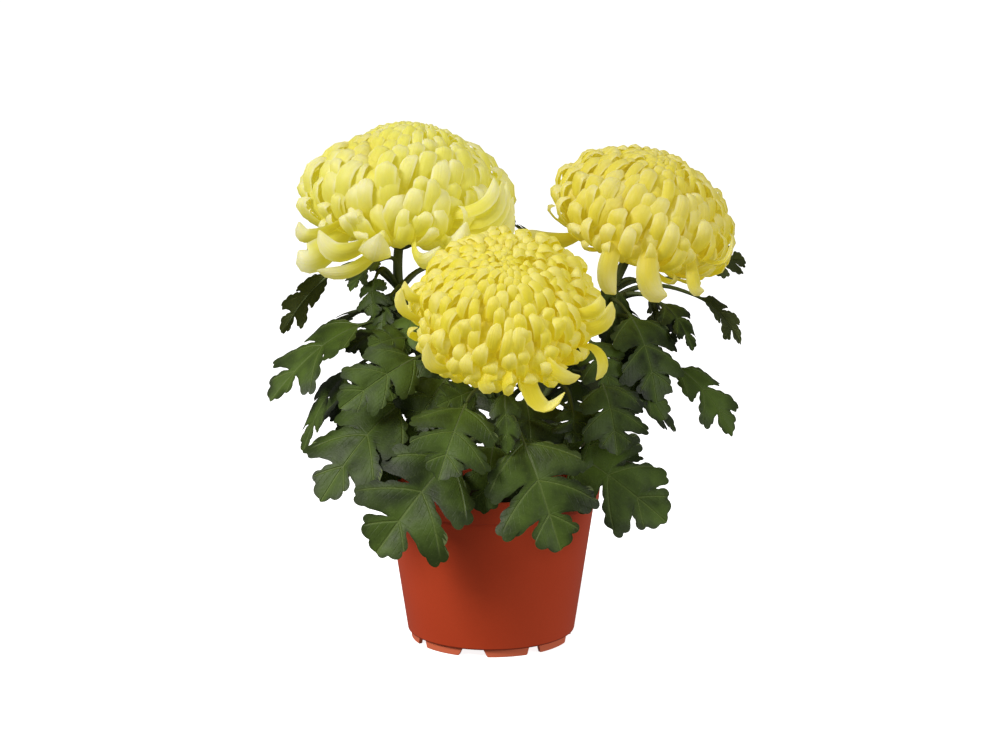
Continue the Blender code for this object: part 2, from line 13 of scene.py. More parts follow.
import bmesh
import bpy
import numpy as np
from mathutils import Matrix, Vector


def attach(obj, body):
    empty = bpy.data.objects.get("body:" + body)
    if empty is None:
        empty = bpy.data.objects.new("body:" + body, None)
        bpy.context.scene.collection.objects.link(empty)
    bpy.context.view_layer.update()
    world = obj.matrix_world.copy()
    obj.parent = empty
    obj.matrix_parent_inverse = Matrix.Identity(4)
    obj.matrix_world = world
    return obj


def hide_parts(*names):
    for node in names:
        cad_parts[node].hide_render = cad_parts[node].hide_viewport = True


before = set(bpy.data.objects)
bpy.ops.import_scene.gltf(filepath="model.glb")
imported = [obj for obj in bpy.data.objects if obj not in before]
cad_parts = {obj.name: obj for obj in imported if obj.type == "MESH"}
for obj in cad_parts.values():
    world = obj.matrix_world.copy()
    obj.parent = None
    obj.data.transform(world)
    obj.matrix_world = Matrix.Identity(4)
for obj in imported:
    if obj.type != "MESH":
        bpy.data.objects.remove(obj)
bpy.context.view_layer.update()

MM = 0.001
print("nodes:", ", ".join(sorted(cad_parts)))

# %% [markdown]
# ## Camera
#
# The plant is seen from a little above and from far off, so a long lens from 1.6 m gives the
# same flat perspective as a product photograph. The camera looks at a point just right of
# the pot's axis, halfway up the plant.

# %% Camera
POT_AXIS = np.array((-14, 4, 0)) * MM
LOOK_AT = POT_AXIS + np.array((5.7, 0, 171)) * MM
CAMERA_DISTANCE = 1600 * MM
CAMERA_ELEVATION = math.radians(11.4)

camera = bpy.data.objects.new("camera", bpy.data.cameras.new("camera"))
bpy.context.scene.collection.objects.link(camera)
bpy.context.scene.camera = camera
camera.data.lens = 90.6
camera.data.sensor_width = 36
back = Vector((0, -math.cos(CAMERA_ELEVATION), math.sin(CAMERA_ELEVATION)))
camera.location = Vector(LOOK_AT) + back * CAMERA_DISTANCE
camera.rotation_euler = back.to_track_quat("Z", "Y").to_euler()
print("camera at", [round(number, 3) for number in camera.location])

# %% [markdown]
# ## Shader maths
#
# Procedural finishes are sums and products of patterns. Writing them as node links is hard
# to read, so a small class wraps a node's output and turns `+`, `*` and the like into Math
# nodes. Colours never pass through a Math node, which would turn them grey: they are mixed.

# %% A socket that does maths
class Value:
    """The output of a node; arithmetic on it adds Math nodes."""

    def __init__(self, finish, socket):
        self.finish = finish
        self.socket = socket

    def maths(self, operation, *values):
        settings = {"operation": operation}
        return self.finish.node("ShaderNodeMath", settings, dict(enumerate(values)))

    def __add__(self, other):
        return self.maths("ADD", self, other)

    def __sub__(self, other):
        return self.maths("SUBTRACT", self, other)

    def __rsub__(self, other):
        return self.maths("SUBTRACT", other, self)

    def __mul__(self, other):
        return self.maths("MULTIPLY", self, other)

    def __truediv__(self, other):
        return self.maths("DIVIDE", self, other)

    def __pow__(self, other):
        return self.maths("POWER", self, other)

    def __abs__(self):
        return self.maths("ABSOLUTE", self)

    __radd__ = __add__
    __rmul__ = __mul__

    def least(self, other):
        return self.maths("MINIMUM", self, other)

    def most(self, other):
        return self.maths("MAXIMUM", self, other)

    def wave(self, turns, shift=0.0):
        """Sine from 0 to 1, with this many turns for each unit of the value."""
        return 0.5 + 0.5 * (self * (turns * 2 * math.pi) + shift).maths("SINE", self * (
            turns * 2 * math.pi) + shift)

    def step(self, low, high, start=0.0, end=1.0):
        """Smooth step: start below low, end above high."""
        settings = {"interpolation_type": "SMOOTHSTEP", "clamp": True}
        values = {"Value": self, "From Min": low, "From Max": high, "To Min": start, "To Max": end}
        return self.finish.node("ShaderNodeMapRange", settings, values)


class Finish:
    """A material on one Principled shader, built from nodes."""

    def __init__(self, name, **constants):
        self.material = bpy.data.materials.new(name)
        self.material.use_nodes = True
        self.nodes = self.material.node_tree.nodes
        self.links = self.material.node_tree.links
        self.shader = self.nodes["Principled BSDF"]
        for socket, value in constants.items():
            self.shader.inputs[socket.replace("_", " ")].default_value = value

    def node(self, kind, settings=None, values=None, output=0):
        """Adds a node: settings first, then a number, colour or link for each socket."""
        made = self.nodes.new(kind)
        for name, value in (settings or {}).items():
            setattr(made, name, value)
        for name, value in (values or {}).items():
            self.plug(made.inputs[name], value)
        return Value(self, made.outputs[output])

    def plug(self, socket, value):
        if isinstance(value, Value):
            self.links.new(value.socket, socket)
        else:
            socket.default_value = value

    def set(self, **values):
        """Feeds sockets of the shader."""
        for name, value in values.items():
            self.plug(self.shader.inputs[name.replace("_", " ")], value)

    def place(self):
        return self.node("ShaderNodeTexCoord", output="Object")

    def height(self, where):
        return self.node("ShaderNodeSeparateXYZ", None, {"Vector": where}, "Z")

    def attribute(self, name):
        return self.node("ShaderNodeAttribute", {"attribute_name": name}, output="Fac")

    def grid(self):
        """The two numbers of the piece's own UV map."""
        uv = self.node("ShaderNodeTexCoord", output="UV")
        split = self.node("ShaderNodeSeparateXYZ", None, {"Vector": uv})
        made = split.socket.node
        return Value(self, made.outputs["X"]), Value(self, made.outputs["Y"])

    def join(self, x, y, z=0.0):
        return self.node("ShaderNodeCombineXYZ", None, {"X": x, "Y": y, "Z": z})

    def noise(self, where, scale, detail=3.0, roughness=0.5, distortion=0.0):
        values = {"Vector": where, "Scale": scale, "Detail": detail}
        values |= {"Roughness": roughness, "Distortion": distortion}
        return self.node("ShaderNodeTexNoise", None, values, "Fac")

    def mix(self, share, first, second):
        """A colour between two colours; share 0 gives the first."""
        made = self.nodes.new("ShaderNodeMix")
        made.data_type = "RGBA"
        sockets = [socket for socket in made.inputs if socket.enabled]
        for socket, value in zip(sockets, (share, first, second)):
            self.plug(socket, value)
        return Value(self, next(socket for socket in made.outputs if socket.enabled))

    def bump(self, height, depth, strength=1.0):
        """Relief of this depth in metres, fed to the shader's Normal."""
        values = {"Strength": strength, "Distance": depth, "Height": height}
        self.set(Normal=self.node("ShaderNodeBump", None, values))


def rgb(red, green, blue):
    """A linear colour out of the 0 to 255 values seen on a screen."""
    return (*(((level / 255 + 0.055) / 1.055) ** 2.4 for level in (red, green, blue)), 1)


# %% [markdown]
# ## Surfaces from arrays
#
# A mesh is only a list of points and a list of faces. A grid of points needs no face list by
# hand: its faces follow from the row and column numbers. Each shape below is therefore a
# function that gives an array of points, and one helper turns arrays into a mesh.

# %% From arrays to a mesh
def unit(vector):
    return vector / np.linalg.norm(vector, axis=-1, keepdims=True)


def grid_faces(rows, columns, ring=False, caps=False):
    """Four-cornered faces of a grid; ring joins the last column to the first."""
    number = np.arange(rows * columns).reshape(rows, columns)
    if ring:
        number = np.hstack([number, number[:, :1]])
    corners = number[:-1, :-1], number[:-1, 1:], number[1:, 1:], number[1:, :-1]
    return np.stack(corners, axis=-1).reshape(-1, 4)


class Skin:
    """Gathers grids of points with their UVs, attributes and material numbers."""

    def __init__(self):
        self.points, self.faces, self.uvs, self.looks = [], [], [], []
        self.attributes = {}
        self.count = 0

    def add(self, points, faces, uv=None, look=0, **attributes):
        """Adds points (n x 3), faces (m x 4) and one number each point for attributes."""
        points = points.reshape(-1, 3)
        size = len(points)
        self.points.append(points)
        self.faces.append(faces + self.count)
        self.uvs.append(np.zeros((size, 2)) if uv is None else uv.reshape(-1, 2))
        self.looks.append(np.full(len(faces), look))
        for name, value in attributes.items():
            value = np.broadcast_to(np.asarray(value, float).reshape(-1), size)
            self.attributes.setdefault(name, []).append(value)
        self.count += size

    def piece(self, name, looks, node, weld=0.0, sharp=60):
        """Makes the object, welds what lies together, and lets it stand for a CAD node."""
        points = np.concatenate(self.points)
        faces = np.concatenate(self.faces)
        uvs = np.concatenate(self.uvs)
        mesh = bpy.data.meshes.new(name)
        mesh.vertices.add(len(points))
        mesh.vertices.foreach_set("co", points.astype(np.float32).ravel())
        mesh.loops.add(faces.size)
        mesh.loops.foreach_set("vertex_index", faces.astype(np.int32).ravel())
        mesh.polygons.add(len(faces))
        mesh.polygons.foreach_set("loop_start", np.arange(0, faces.size, 4, dtype=np.int32))
        looks_of_faces = np.concatenate(self.looks).astype(np.int32)
        mesh.polygons.foreach_set("material_index", looks_of_faces)
        mesh.update(calc_edges=True)
        layer = mesh.uv_layers.new(name="UVMap")
        layer.data.foreach_set("uv", uvs[faces.ravel()].astype(np.float32).ravel())
        for title, values in self.attributes.items():
            made = mesh.attributes.new(title, "FLOAT", "POINT")
            made.data.foreach_set("value", np.concatenate(values).astype(np.float32))
        if weld:
            shaped = bmesh.new()
            shaped.from_mesh(mesh)
            bmesh.ops.remove_doubles(shaped, verts=shaped.verts, dist=weld)
            shaped.to_mesh(mesh)
            shaped.free()
        mesh.validate()
        mesh.shade_smooth()
        mesh.set_sharp_from_angle(angle=math.radians(sharp))
        for look in looks:
            mesh.materials.append(look)
        made = bpy.data.objects.new(name, mesh)
        bpy.context.scene.collection.objects.link(made)
        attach(made, "root")
        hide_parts(node)
        mesh.calc_loop_triangles()
        print(f"{name}: {len(mesh.loop_triangles)} triangles")
        return made


# %% [markdown]
# ## Tubes
#
# Stems and leaf stalks are round rods that bend. A rod is a circle carried along a path: at
# each point of the path the circle stands square to it. The path itself is a cubic curve
# through four control points, the simplest curve whose two ends can be aimed.

# %% Paths and tubes
def bezier(points, steps):
    """Cubic curve: each control point weighted by its term of (rest + share) cubed."""
    share = np.linspace(0, 1, steps)[:, None]
    a, b, c, d = (np.asarray(point, float) for point in points)
    rest = 1 - share
    return rest**3 * a + 3 * rest**2 * share * b + 3 * rest * share**2 * c + share**3 * d


def tube(path, radii, sides, ribs=0, depth=0.0):
    """Rod: path plus radius times a unit circle, its radius waved by ribs along it."""
    along = unit(np.gradient(path, axis=0))
    side = unit(np.cross(along, (0.31, 0.87, 0.38)))
    up = np.cross(along, side)
    turn = np.arange(sides) * 2 * math.pi / sides
    circle = np.cos(turn)[:, None] * side[:, None] + np.sin(turn)[:, None] * up[:, None]
    swell = 1 + depth * np.cos(ribs * turn)
    return path[:, None] + (np.asarray(radii)[:, None] * swell)[..., None] * circle


def closed_tube(rings):
    """Adds a point ring at each end, so that the tube is capped by fans of slivers."""
    ends = rings[[0, -1]].mean(axis=1, keepdims=True) + 0 * rings[[0, -1]]
    return np.concatenate([ends[:1], rings, ends[1:]])


# %% [markdown]
# ## The plant's plan
#
# These tables place every bloom, stem and leaf, in millimetres from the pot's axis. They
# are the same numbers that shaped the solids, so the fine pieces land where the rough ones
# stood.

# %% Where everything grows
SOIL_TOP = 92 * MM
HOLE_DEPTH = 30 * MM
SEAT_GAP = 0.3 * MM
STEM_RADIUS = 3.8 * MM
STEM_TOP_RADIUS = 3.0 * MM
PETIOLE_RADIUS = 1.7 * MM
CALYX_RADIUS = 13 * MM
CALYX_HEIGHT = 9 * MM
CORE_DEPTH = 20 * MM
GOLDEN_ANGLE = math.pi * (3 - math.sqrt(5))

BLOOMS = {
    "left": {"centre": (-55, 30, 276), "lean": 10, "heading": 30, "radius": 70, "height": 53},
    "right": {"centre": (97, 40, 264), "lean": 22, "heading": -20, "radius": 61, "height": 46},
    "front": {"centre": (9, -72, 224), "lean": 36, "heading": -90, "radius": 58, "height": 44},
}

STEM_ROOTS = {"left": (-22, 12), "right": (24, 14), "front": (2, -22)}

# Petals that hang loose below a bloom or stand off its side. Each row: root, two points
# that pull the petal into its bend, tip, width, and how far its back turns to the front,
# in degrees. Lengths in millimetres.
LOOSE_PETALS = {
    "left": (
        ((-64, -6, 262), (-74, -26, 246), (-88, -34, 237), (-107, -36, 244), 9, 50),
        ((-70, -14, 268), (-75, -36, 245), (-72, -62, 246), (-67, -60, 270), 20, 0),
        ((-70, -16, 262), (-84, -38, 252), (-102, -38, 248), (-106, -30, 268), 13, 40),
        ((-45, -18, 270), (-56, -36, 249), (-40, -40, 241), (-31, -38, 259), 11, 40),
        ((-32, -14, 275), (-34, -32, 255), (-20, -34, 249), (-15, -36, 274), 13, 50),
        ((-88, -4, 272), (-106, -24, 260), (-121, -22, 256), (-119, -20, 272), 12, 35),
        ((-88, 0, 266), (-100, -28, 256), (-114, -36, 245), (-119, -27, 255), 19, 50),
        ((-30, -4, 256), (-14, -34, 248), (10, -10, 248), (15, 8, 272), 9, 55),
        ((-30, -6, 262), (-12, -40, 256), (12, -14, 258), (14, 6, 284), 9, 55),
        ((-30, -8, 268), (-10, -44, 265), (12, -18, 268), (10, 4, 294), 9, 55),
        ((-31, -10, 272), (-10, -46, 270), (10, -22, 275), (7, -4, 295), 9, 55),
        ((-33, -12, 277), (-14, -48, 278), (6, -26, 286), (2, -8, 298), 9, 55),
    ),
    "right": (
        ((84, -5, 262), (73, -20, 256), (69, -22, 233), (78, -18, 226), 13, 60),
        ((103, -10, 259), (92, -26, 248), (98, -26, 223), (110, -22, 226), 15, 60),
        ((125, 0, 251), (127, -12, 240), (126, -14, 224), (134, -10, 227), 9, 60),
        ((126, 5, 251), (139, -6, 236), (155, -4, 240), (152, 0, 260), 9, -25),
        ((57, 30, 256), (44, 10, 253), (28, 8, 254), (21, 12, 262), 12, 40),
    ),
    "front": (
        ((23, -100, 209), (14, -118, 185), (32, -124, 158), (44, -122, 185), 14, -45),
        ((24, -104, 215), (28, -120, 200), (44, -124, 184), (53, -118, 194), 14, 10),
        ((-6, -95, 208), (-21, -108, 187), (-42, -108, 191), (-37, -112, 213), 9, 50),
        ((-30, -80, 222), (-47, -90, 217), (-60, -88, 227), (-53, -92, 242), 9, 40),
        ((-30, -82, 235), (-43, -94, 231), (-53, -92, 236), (-51, -90, 246), 7, 40),
        ((41, -95, 220), (60, -106, 215), (73, -102, 220), (72, -98, 235), 10, 50),
        ((41, -98, 229), (56, -110, 226), (68, -106, 230), (65, -104, 240), 9, 50),
        ((51, -90, 207), (65, -98, 215), (75, -98, 195), (63, -100, 188), 9, 30),
        ((9, -104, 210), (-6, -120, 199), (-7, -120, 185), (3, -120, 187), 14, 40),
        ((12, -106, 207), (6, -122, 193), (6, -122, 182), (14, -122, 188), 13, 30),
    ),
}

# Each row: stem, height of the joint, blade base, blade tip, width, roll in degrees.
FRONT_LEAVES = (
    ("left", 222, (-97, 15, 237), (-132, -5, 199), 24, 74),
    ("left", 176, (-72, -5, 207), (-138, -30, 160), 56, 14),
    ("left", 156, (-81, -12, 182), (-117, -40, 129), 36, 28),
    ("left", 170, (-41, -45, 193), (-92, -70, 164), 42, -10),
    ("left", 185, (-51, -35, 201), (-75, -50, 199), 26, 0),
    ("left", 135, (-48, -40, 166), (-104, -76, 107), 64, 6),
    ("left", 218, (-72, 0, 236), (-73, -15, 211), 28, 0),
    ("left", 200, (-61, -5, 226), (-68, -22, 201), 20, 0),
    ("left", 150, (-60, -12, 168), (-92, -40, 136), 46, 0),
    ("left", 128, (-38, -32, 150), (-58, -54, 116), 40, 0),
    ("left", 196, (-45, -18, 216), (-56, -42, 188), 28, 0),
    ("left", 205, (-58, 12, 227), (-67, -2, 191), 44, 0),
    ("left", 166, (-37, -12, 188), (-50, -25, 147), 56, 0),
    ("left", 179, (-59, 2, 201), (-92, -8, 187), 38, 0),
    ("left", 221, (-14, 66, 243), (16, 78, 259), 34, -15),
    ("left", 121, (-54, -30, 143), (-66, -62, 112), 44, 0),
    ("left", 222, (-67, 14, 244), (-89, 2, 224), 34, 0),
    ("left", 192, (-46, 30, 214), (-33, 30, 180), 50, 0),
    ("left", 137, (-32, -5, 159), (-26, -15, 119), 60, 0),
    ("front", 116, (-18, -74, 140), (-69, -102, 82), 74, -4),
    ("front", 150, (-14, -80, 171), (-31, -114, 130), 56, 0),
    ("front", 132, (17, -82, 154), (42, -114, 87), 68, 4),
    ("front", 172, (8, -82, 181), (10, -100, 143), 20, 0),
    ("front", 160, (-7, -62, 174), (-33, -76, 167), 26, 0),
    ("front", 124, (2, -58, 142), (-4, -94, 104), 44, 0),
    ("front", 153, (-7, -34, 175), (-18, -50, 137), 52, 0),
    ("front", 145, (21, -36, 167), (25, -60, 130), 54, 0),
    ("front", 157, (-25, -40, 179), (-47, -60, 148), 48, 0),
    ("right", 112, (42, -48, 136), (108, -72, 93), 62, 6),
    ("right", 150, (67, -45, 178), (77, -75, 136), 48, 0),
    ("right", 190, (84, -5, 215), (103, -35, 161), 58, 0),
    ("right", 160, (113, 5, 178), (153, -15, 135), 38, 6),
    ("right", 205, (130, 30, 218), (160, 15, 188), 34, -30),
    ("right", 200, (109, 20, 213), (116, 8, 189), 26, 0),
    ("right", 210, (138, 82, 226), (167, 72, 234), 32, -20),
    ("right", 140, (50, -58, 163), (50, -72, 143), 28, 0),
    ("right", 130, (50, -36, 156), (78, -56, 120), 46, 0),
    ("right", 165, (72, -16, 188), (108, -38, 150), 44, 0),
    ("right", 178, (60, -24, 200), (74, -50, 168), 38, 0),
    ("right", 200, (36, 24, 230), (15, 62, 258), 24, 0),
    ("right", 205, (79, 22, 227), (71, 6, 189), 46, 0),
    ("right", 195, (105, 16, 217), (128, 2, 186), 42, 0),
    ("right", 200, (97, 45, 222), (107, 40, 183), 54, 0),
    ("right", 116, (68, -40, 138), (80, -62, 105), 52, 0),
    ("right", 178, (94, 0, 200), (94, -10, 157), 50, 0),
    ("right", 163, (44, 10, 185), (50, 0, 142), 60, 0),
)

# Tiers at the back: joint height, headings, then radius and height of base and tip, width.
BACK_TIERS = (
    (112, (26, 64, 118, 156), 50, 134, 104, 92, 62),
    (150, (8, 42, 74, 109, 140, 172), 56, 172, 120, 130, 58),
    (190, (28, 62, 122, 158), 66, 212, 124, 180, 50),
)


def bloom_frame(which):
    """Centre of a bloom, and the matrix that turns its own axes into the pot's."""
    bloom = BLOOMS[which]
    lean, heading = math.radians(bloom["lean"]), math.radians(bloom["heading"])
    flat = math.sin(lean)
    up = Vector((flat * math.cos(heading), flat * math.sin(heading), math.cos(lean)))
    turn = Vector((0, 0, 1)).rotation_difference(up).to_matrix()
    return np.array(bloom["centre"]) * MM, np.array(turn)


def stem_path(which, steps):
    """From the bottom of its hole straight up, then in one bend to under the bloom."""
    x, y = STEM_ROOTS[which]
    centre, turn = bloom_frame(which)
    up = turn @ (0, 0, 1)
    foot = np.array((x * MM, y * MM, SOIL_TOP - HOLE_DEPTH + SEAT_GAP))
    ground = foot + (0, 0, HOLE_DEPTH + 4 * MM)
    head = centre - up * (CORE_DEPTH + CALYX_HEIGHT / 2)
    rise = head[2] - ground[2]
    bend = bezier((ground, ground + (0, 0, 0.45 * rise), head - up * 0.4 * rise, head), steps)
    return np.vstack([foot, bend])


def leaf_rows(which):
    """Every leaf of a stem: height of its joint, blade base, blade tip, width and roll."""
    for stem, joint, base, tip, width, roll in FRONT_LEAVES:
        if stem == which:
            yield joint * MM, np.array(base) * MM, np.array(tip) * MM, width * MM, roll
    for joint, headings, base_radius, base_height, tip_radius, tip_height, width in BACK_TIERS:
        for number, heading in enumerate(headings):
            if ("right" if heading < 90 else "left") != which:
                continue
            out = np.array((math.cos(math.radians(heading)), math.sin(math.radians(heading)), 0))
            base = out * base_radius + (0, 0, base_height)
            tip = out * tip_radius + (0, 0, tip_height)
            yield (joint + 5 * number) * MM, base * MM, tip * MM, width * MM, 0


print("leaves:", {which: len(list(leaf_rows(which))) for which in BLOOMS})

# %% [markdown]
# ## The pot
#
# A nursery pot is moulded plastic of even wall: a tapered body, a plain band at the rim and
# a foot ring with notches that let water out. It is a turned shape, so one profile of
# radius and height is carried round the axis. Rounded corners are what catches the light,
# so the profile's corners are cut by short arcs.

# %% Turned surfaces
def rounded(profile, radius, steps=4):
    """Cuts each inner corner of a line of points by a quadratic arc of this reach."""
    points = np.asarray(profile, float)
    made = [points[:1]]
    share = np.linspace(0, 1, steps)[:, None]
    for before, corner, after in zip(points[:-2], points[1:-1], points[2:]):
        near, far = before - corner, after - corner
        reach = min(radius, 0.45 * np.linalg.norm(near), 0.45 * np.linalg.norm(far))
        start, end = corner + unit(near) * reach, corner + unit(far) * reach
        rest = 1 - share
        made.append(rest**2 * start + 2 * rest * share * corner + share**2 * end)
    return np.concatenate(made + [points[-1:]])


def turned(profile, sides, start=0.0):
    """Surface of revolution: radius times cosine and sine of the turn, height as it is."""
    turn = start + np.arange(sides) * 2 * math.pi / sides
    radius, height = np.asarray(profile).T
    x, y = radius[:, None] * np.cos(turn), radius[:, None] * np.sin(turn)
    return np.stack([x, y, height[:, None] + 0 * turn], axis=-1)


POT_HEIGHT = 105 * MM
RIM_RADIUS = 70 * MM
RIM_BAND = 14 * MM
BODY_TOP_RADIUS = 66.5 * MM
BODY_BASE_RADIUS = 53.8 * MM
FOOT_RADIUS = 51.6 * MM
FOOT_HEIGHT = 5.3 * MM
FOOT_THICKNESS = 2.4 * MM
WALL = 1.6 * MM
NOTCH_TURN = math.radians(-103)
NOTCH_WIDE = 20 * MM
NOTCH_NARROW = 10.5 * MM
POT_SIDES = 160
DRAIN_RADIUS = 4.5 * MM
DRAIN_CIRCLE = 34 * MM
PLATE_RADIUS = 44 * MM


def drained_quarter(low, high):
    """A quarter of the pot's floor with a drain in it, from its outline to the hole and back.

    Each point of the outline has its partner on the hole, on the line to the hole's middle.
    """
    arc = np.radians(np.linspace(-45, 45, POT_SIDES // 4 + 1))
    arc = PLATE_RADIUS * np.stack([np.cos(arc), np.sin(arc)], axis=-1)
    spoke = np.linspace(1, 0, 9)[1:, None]
    outline = np.concatenate([arc, arc[-1] * spoke, (arc[0] * spoke)[-2::-1]])
    middle = np.array((DRAIN_CIRCLE, 0))
    hole = middle + DRAIN_RADIUS * unit(outline - middle)
    flat = np.stack([outline, hole, hole, outline])
    height = np.array((high, high, low, low))[:, None, None]
    return np.concatenate([flat, height + 0 * flat[..., :1]], axis=-1)


def turned_by(points, angle):
    """The points turned about the upright axis."""
    x, y, z = np.moveaxis(points, -1, 0)
    cosine, sine = math.cos(angle), math.sin(angle)
    return np.stack([x * cosine - y * sine, x * sine + y * cosine, z], axis=-1)

# %% Pot wall and foot ring
inner_base = BODY_BASE_RADIUS - WALL
band_base = POT_HEIGHT - RIM_BAND
floor_top = FOOT_HEIGHT + WALL
pot_profile = rounded(
    (
        (PLATE_RADIUS, floor_top),
        (inner_base, floor_top),
        (BODY_TOP_RADIUS - WALL, band_base - WALL),
        (RIM_RADIUS - 1.9 * WALL, band_base + WALL),
        (RIM_RADIUS - WALL, POT_HEIGHT),
        (RIM_RADIUS + WALL / 4, POT_HEIGHT),
        (RIM_RADIUS - WALL / 2, band_base),
        (BODY_TOP_RADIUS, band_base - WALL / 4),
        (BODY_BASE_RADIUS, FOOT_HEIGHT),
        (PLATE_RADIUS, FOOT_HEIGHT),
    ),
    0.8 * MM,
)
pot_skin = Skin()
wall = turned(pot_profile, POT_SIDES, NOTCH_TURN + math.radians(45))
pot_skin.add(wall + POT_AXIS, grid_faces(*wall.shape[:2], ring=True)[:, ::-1])
quarter = drained_quarter(FOOT_HEIGHT, floor_top)
for number in range(4):
    plate = turned_by(quarter, NOTCH_TURN + number * math.pi / 2)
    pot_skin.add(plate + POT_AXIS, grid_faces(*plate.shape[:2], ring=True))

turn = np.arange(720) * 2 * math.pi / 720
notch_height = 0 * turn
for number in range(8):
    half = (NOTCH_NARROW if number % 2 else NOTCH_WIDE) / 2
    apart = (turn - NOTCH_TURN - number * math.pi / 4 + math.pi) % (2 * math.pi) - math.pi
    share = np.clip((half - np.abs(apart) * FOOT_RADIUS) / (0.38 * half), 0, 1)
    notch_height = np.maximum(notch_height, share * share * (3 - 2 * share))
foot_low = notch_height * (FOOT_HEIGHT - 0.1 * MM)
foot_top = FOOT_HEIGHT + WALL / 2 + 0 * turn
edge = 0.35 * MM
corners = (
    (FOOT_RADIUS, foot_top),
    (FOOT_RADIUS, foot_low + edge),
    (FOOT_RADIUS - edge, foot_low),
    (FOOT_RADIUS - FOOT_THICKNESS + edge, foot_low),
    (FOOT_RADIUS - FOOT_THICKNESS, foot_low + edge),
    (FOOT_RADIUS - FOOT_THICKNESS, foot_top),
    (FOOT_RADIUS, foot_top),
)
foot = np.array(
    [np.stack([radius * np.cos(turn), radius * np.sin(turn), height], axis=-1)
     for radius, height in corners]
)
pot_skin.add(foot + POT_AXIS, grid_faces(*foot.shape[:2], ring=True)[:, ::-1])

# %% [markdown]
# The plastic is a satin terracotta orange. Moulded plastic isn't quite even: the sheen varies in soft
# clouds and fine scratches run round it from stacking. A painted shade darkens the corner where
# the body's lip overhangs the foot ring.

# %% Pot plastic
plastic = Finish("terracotta_plastic", Roughness=0.45, Specular_IOR_Level=0.15)
place = plastic.place()
clouds = plastic.noise(place, 18, 4)
grain = plastic.noise(place, 900, 2)
shade = plastic.mix(clouds, rgb(200, 68, 34), rgb(214, 80, 44))
shade = plastic.mix(grain * 0.25, shade, rgb(160, 62, 32))
height = plastic.height(place)
foot = 1 - height.step(FOOT_HEIGHT - 0.3 * MM, FOOT_HEIGHT)
shade = plastic.mix(foot * 0.8, shade, rgb(224, 118, 84))
# Painted shade: a dark line just above the foot, where the body's lip overhangs the foot ring.
painted_lip_shade = 1 - abs(height - (FOOT_HEIGHT + 0.4 * MM)).step(0.2 * MM, 0.9 * MM)
plastic.set(Base_Color=plastic.mix(painted_lip_shade * 0.6, shade, rgb(84, 26, 14)))
plastic.set(Roughness=0.34 + clouds * 0.16 + grain * 0.06)
plastic.bump(grain * 0.6 + clouds, 0.00008, 0.6)
pot_skin.piece("pot_body", [plastic.material], "pot", weld=1e-6, sharp=35)

# %% [markdown]
# ## Potting soil
#
# The soil is seen only in gaps between leaves. It is a shallow uneven disc of crumbs: crossed
# waves give the broad relief, and the bump in the material gives the crumbs themselves.

# %% Soil
SOIL_RELIEF = 1.6 * MM


def soil_height(x, y):
    """The crumbly top of the soil: three crossed waves, lowest towards the rim."""
    waves = (
        np.sin(230 * x + 1.3) * np.cos(190 * y)
        + np.sin(410 * y + 300 * x)
        + 0.6 * np.cos(560 * x - 240 * y)
    )
    return SOIL_TOP + SOIL_RELIEF * waves / 2.6 - 0.4 * np.hypot(x, y) ** 2


soil_edge = 63.4 * MM
soil_base = 51 * MM
soil_turn = np.arange(120) * 2 * math.pi / 120
soil_rings = np.linspace(1, 0, 40)[:, None] * soil_edge
x, y = soil_rings * np.cos(soil_turn), soil_rings * np.sin(soil_turn)
crumbs = 0.5 * MM * np.sin(1500 * x + 3 * np.sin(900 * y)) * np.sin(1350 * y + 2 * np.cos(800 * x))
top = np.stack([x, y, soil_height(x, y) + crumbs], axis=-1)
bottom = np.stack([x[:1] * soil_base / soil_edge, y[:1] * soil_base / soil_edge,
                   0 * x[:1] + FOOT_HEIGHT + WALL + SEAT_GAP], axis=-1)
middle = bottom[:1] * (0, 0, 1)
soil_points = np.concatenate([middle, bottom, top])
soil_skin = Skin()
soil_skin.add(soil_points + POT_AXIS, grid_faces(*soil_points.shape[:2], ring=True))

peat = Finish("potting_soil", Roughness=0.95, Specular_IOR_Level=0.2)
place = peat.place()
lumps = peat.node("ShaderNodeTexVoronoi", {"feature": "F1"}, {"Vector": place, "Scale": 420})
fine = peat.noise(place, 700, 4)
dark = peat.mix(fine, (0.012, 0.008, 0.005, 1), (0.06, 0.038, 0.022, 1))
peat.set(Base_Color=peat.mix(lumps.step(0.0, 0.5), dark, (0.03, 0.02, 0.013, 1)))
peat.bump(lumps + fine * 0.5, 0.0012)
soil_skin.piece("soil", [peat.material], "potting_soil", weld=1e-6)

# %% [markdown]
# ## Leaves
#
# A chrysanthemum leaf has a long blade cut by narrow sinuses into two pairs of side lobes
# and a tip lobe, with rounded teeth. We could cut the outline out of a flat sheet, but then
# the mesh wouldn't follow the veins. Here each point of the outline hangs on a point of
# the midrib, and the blade is the fan of lines between them, which is how real veins run.

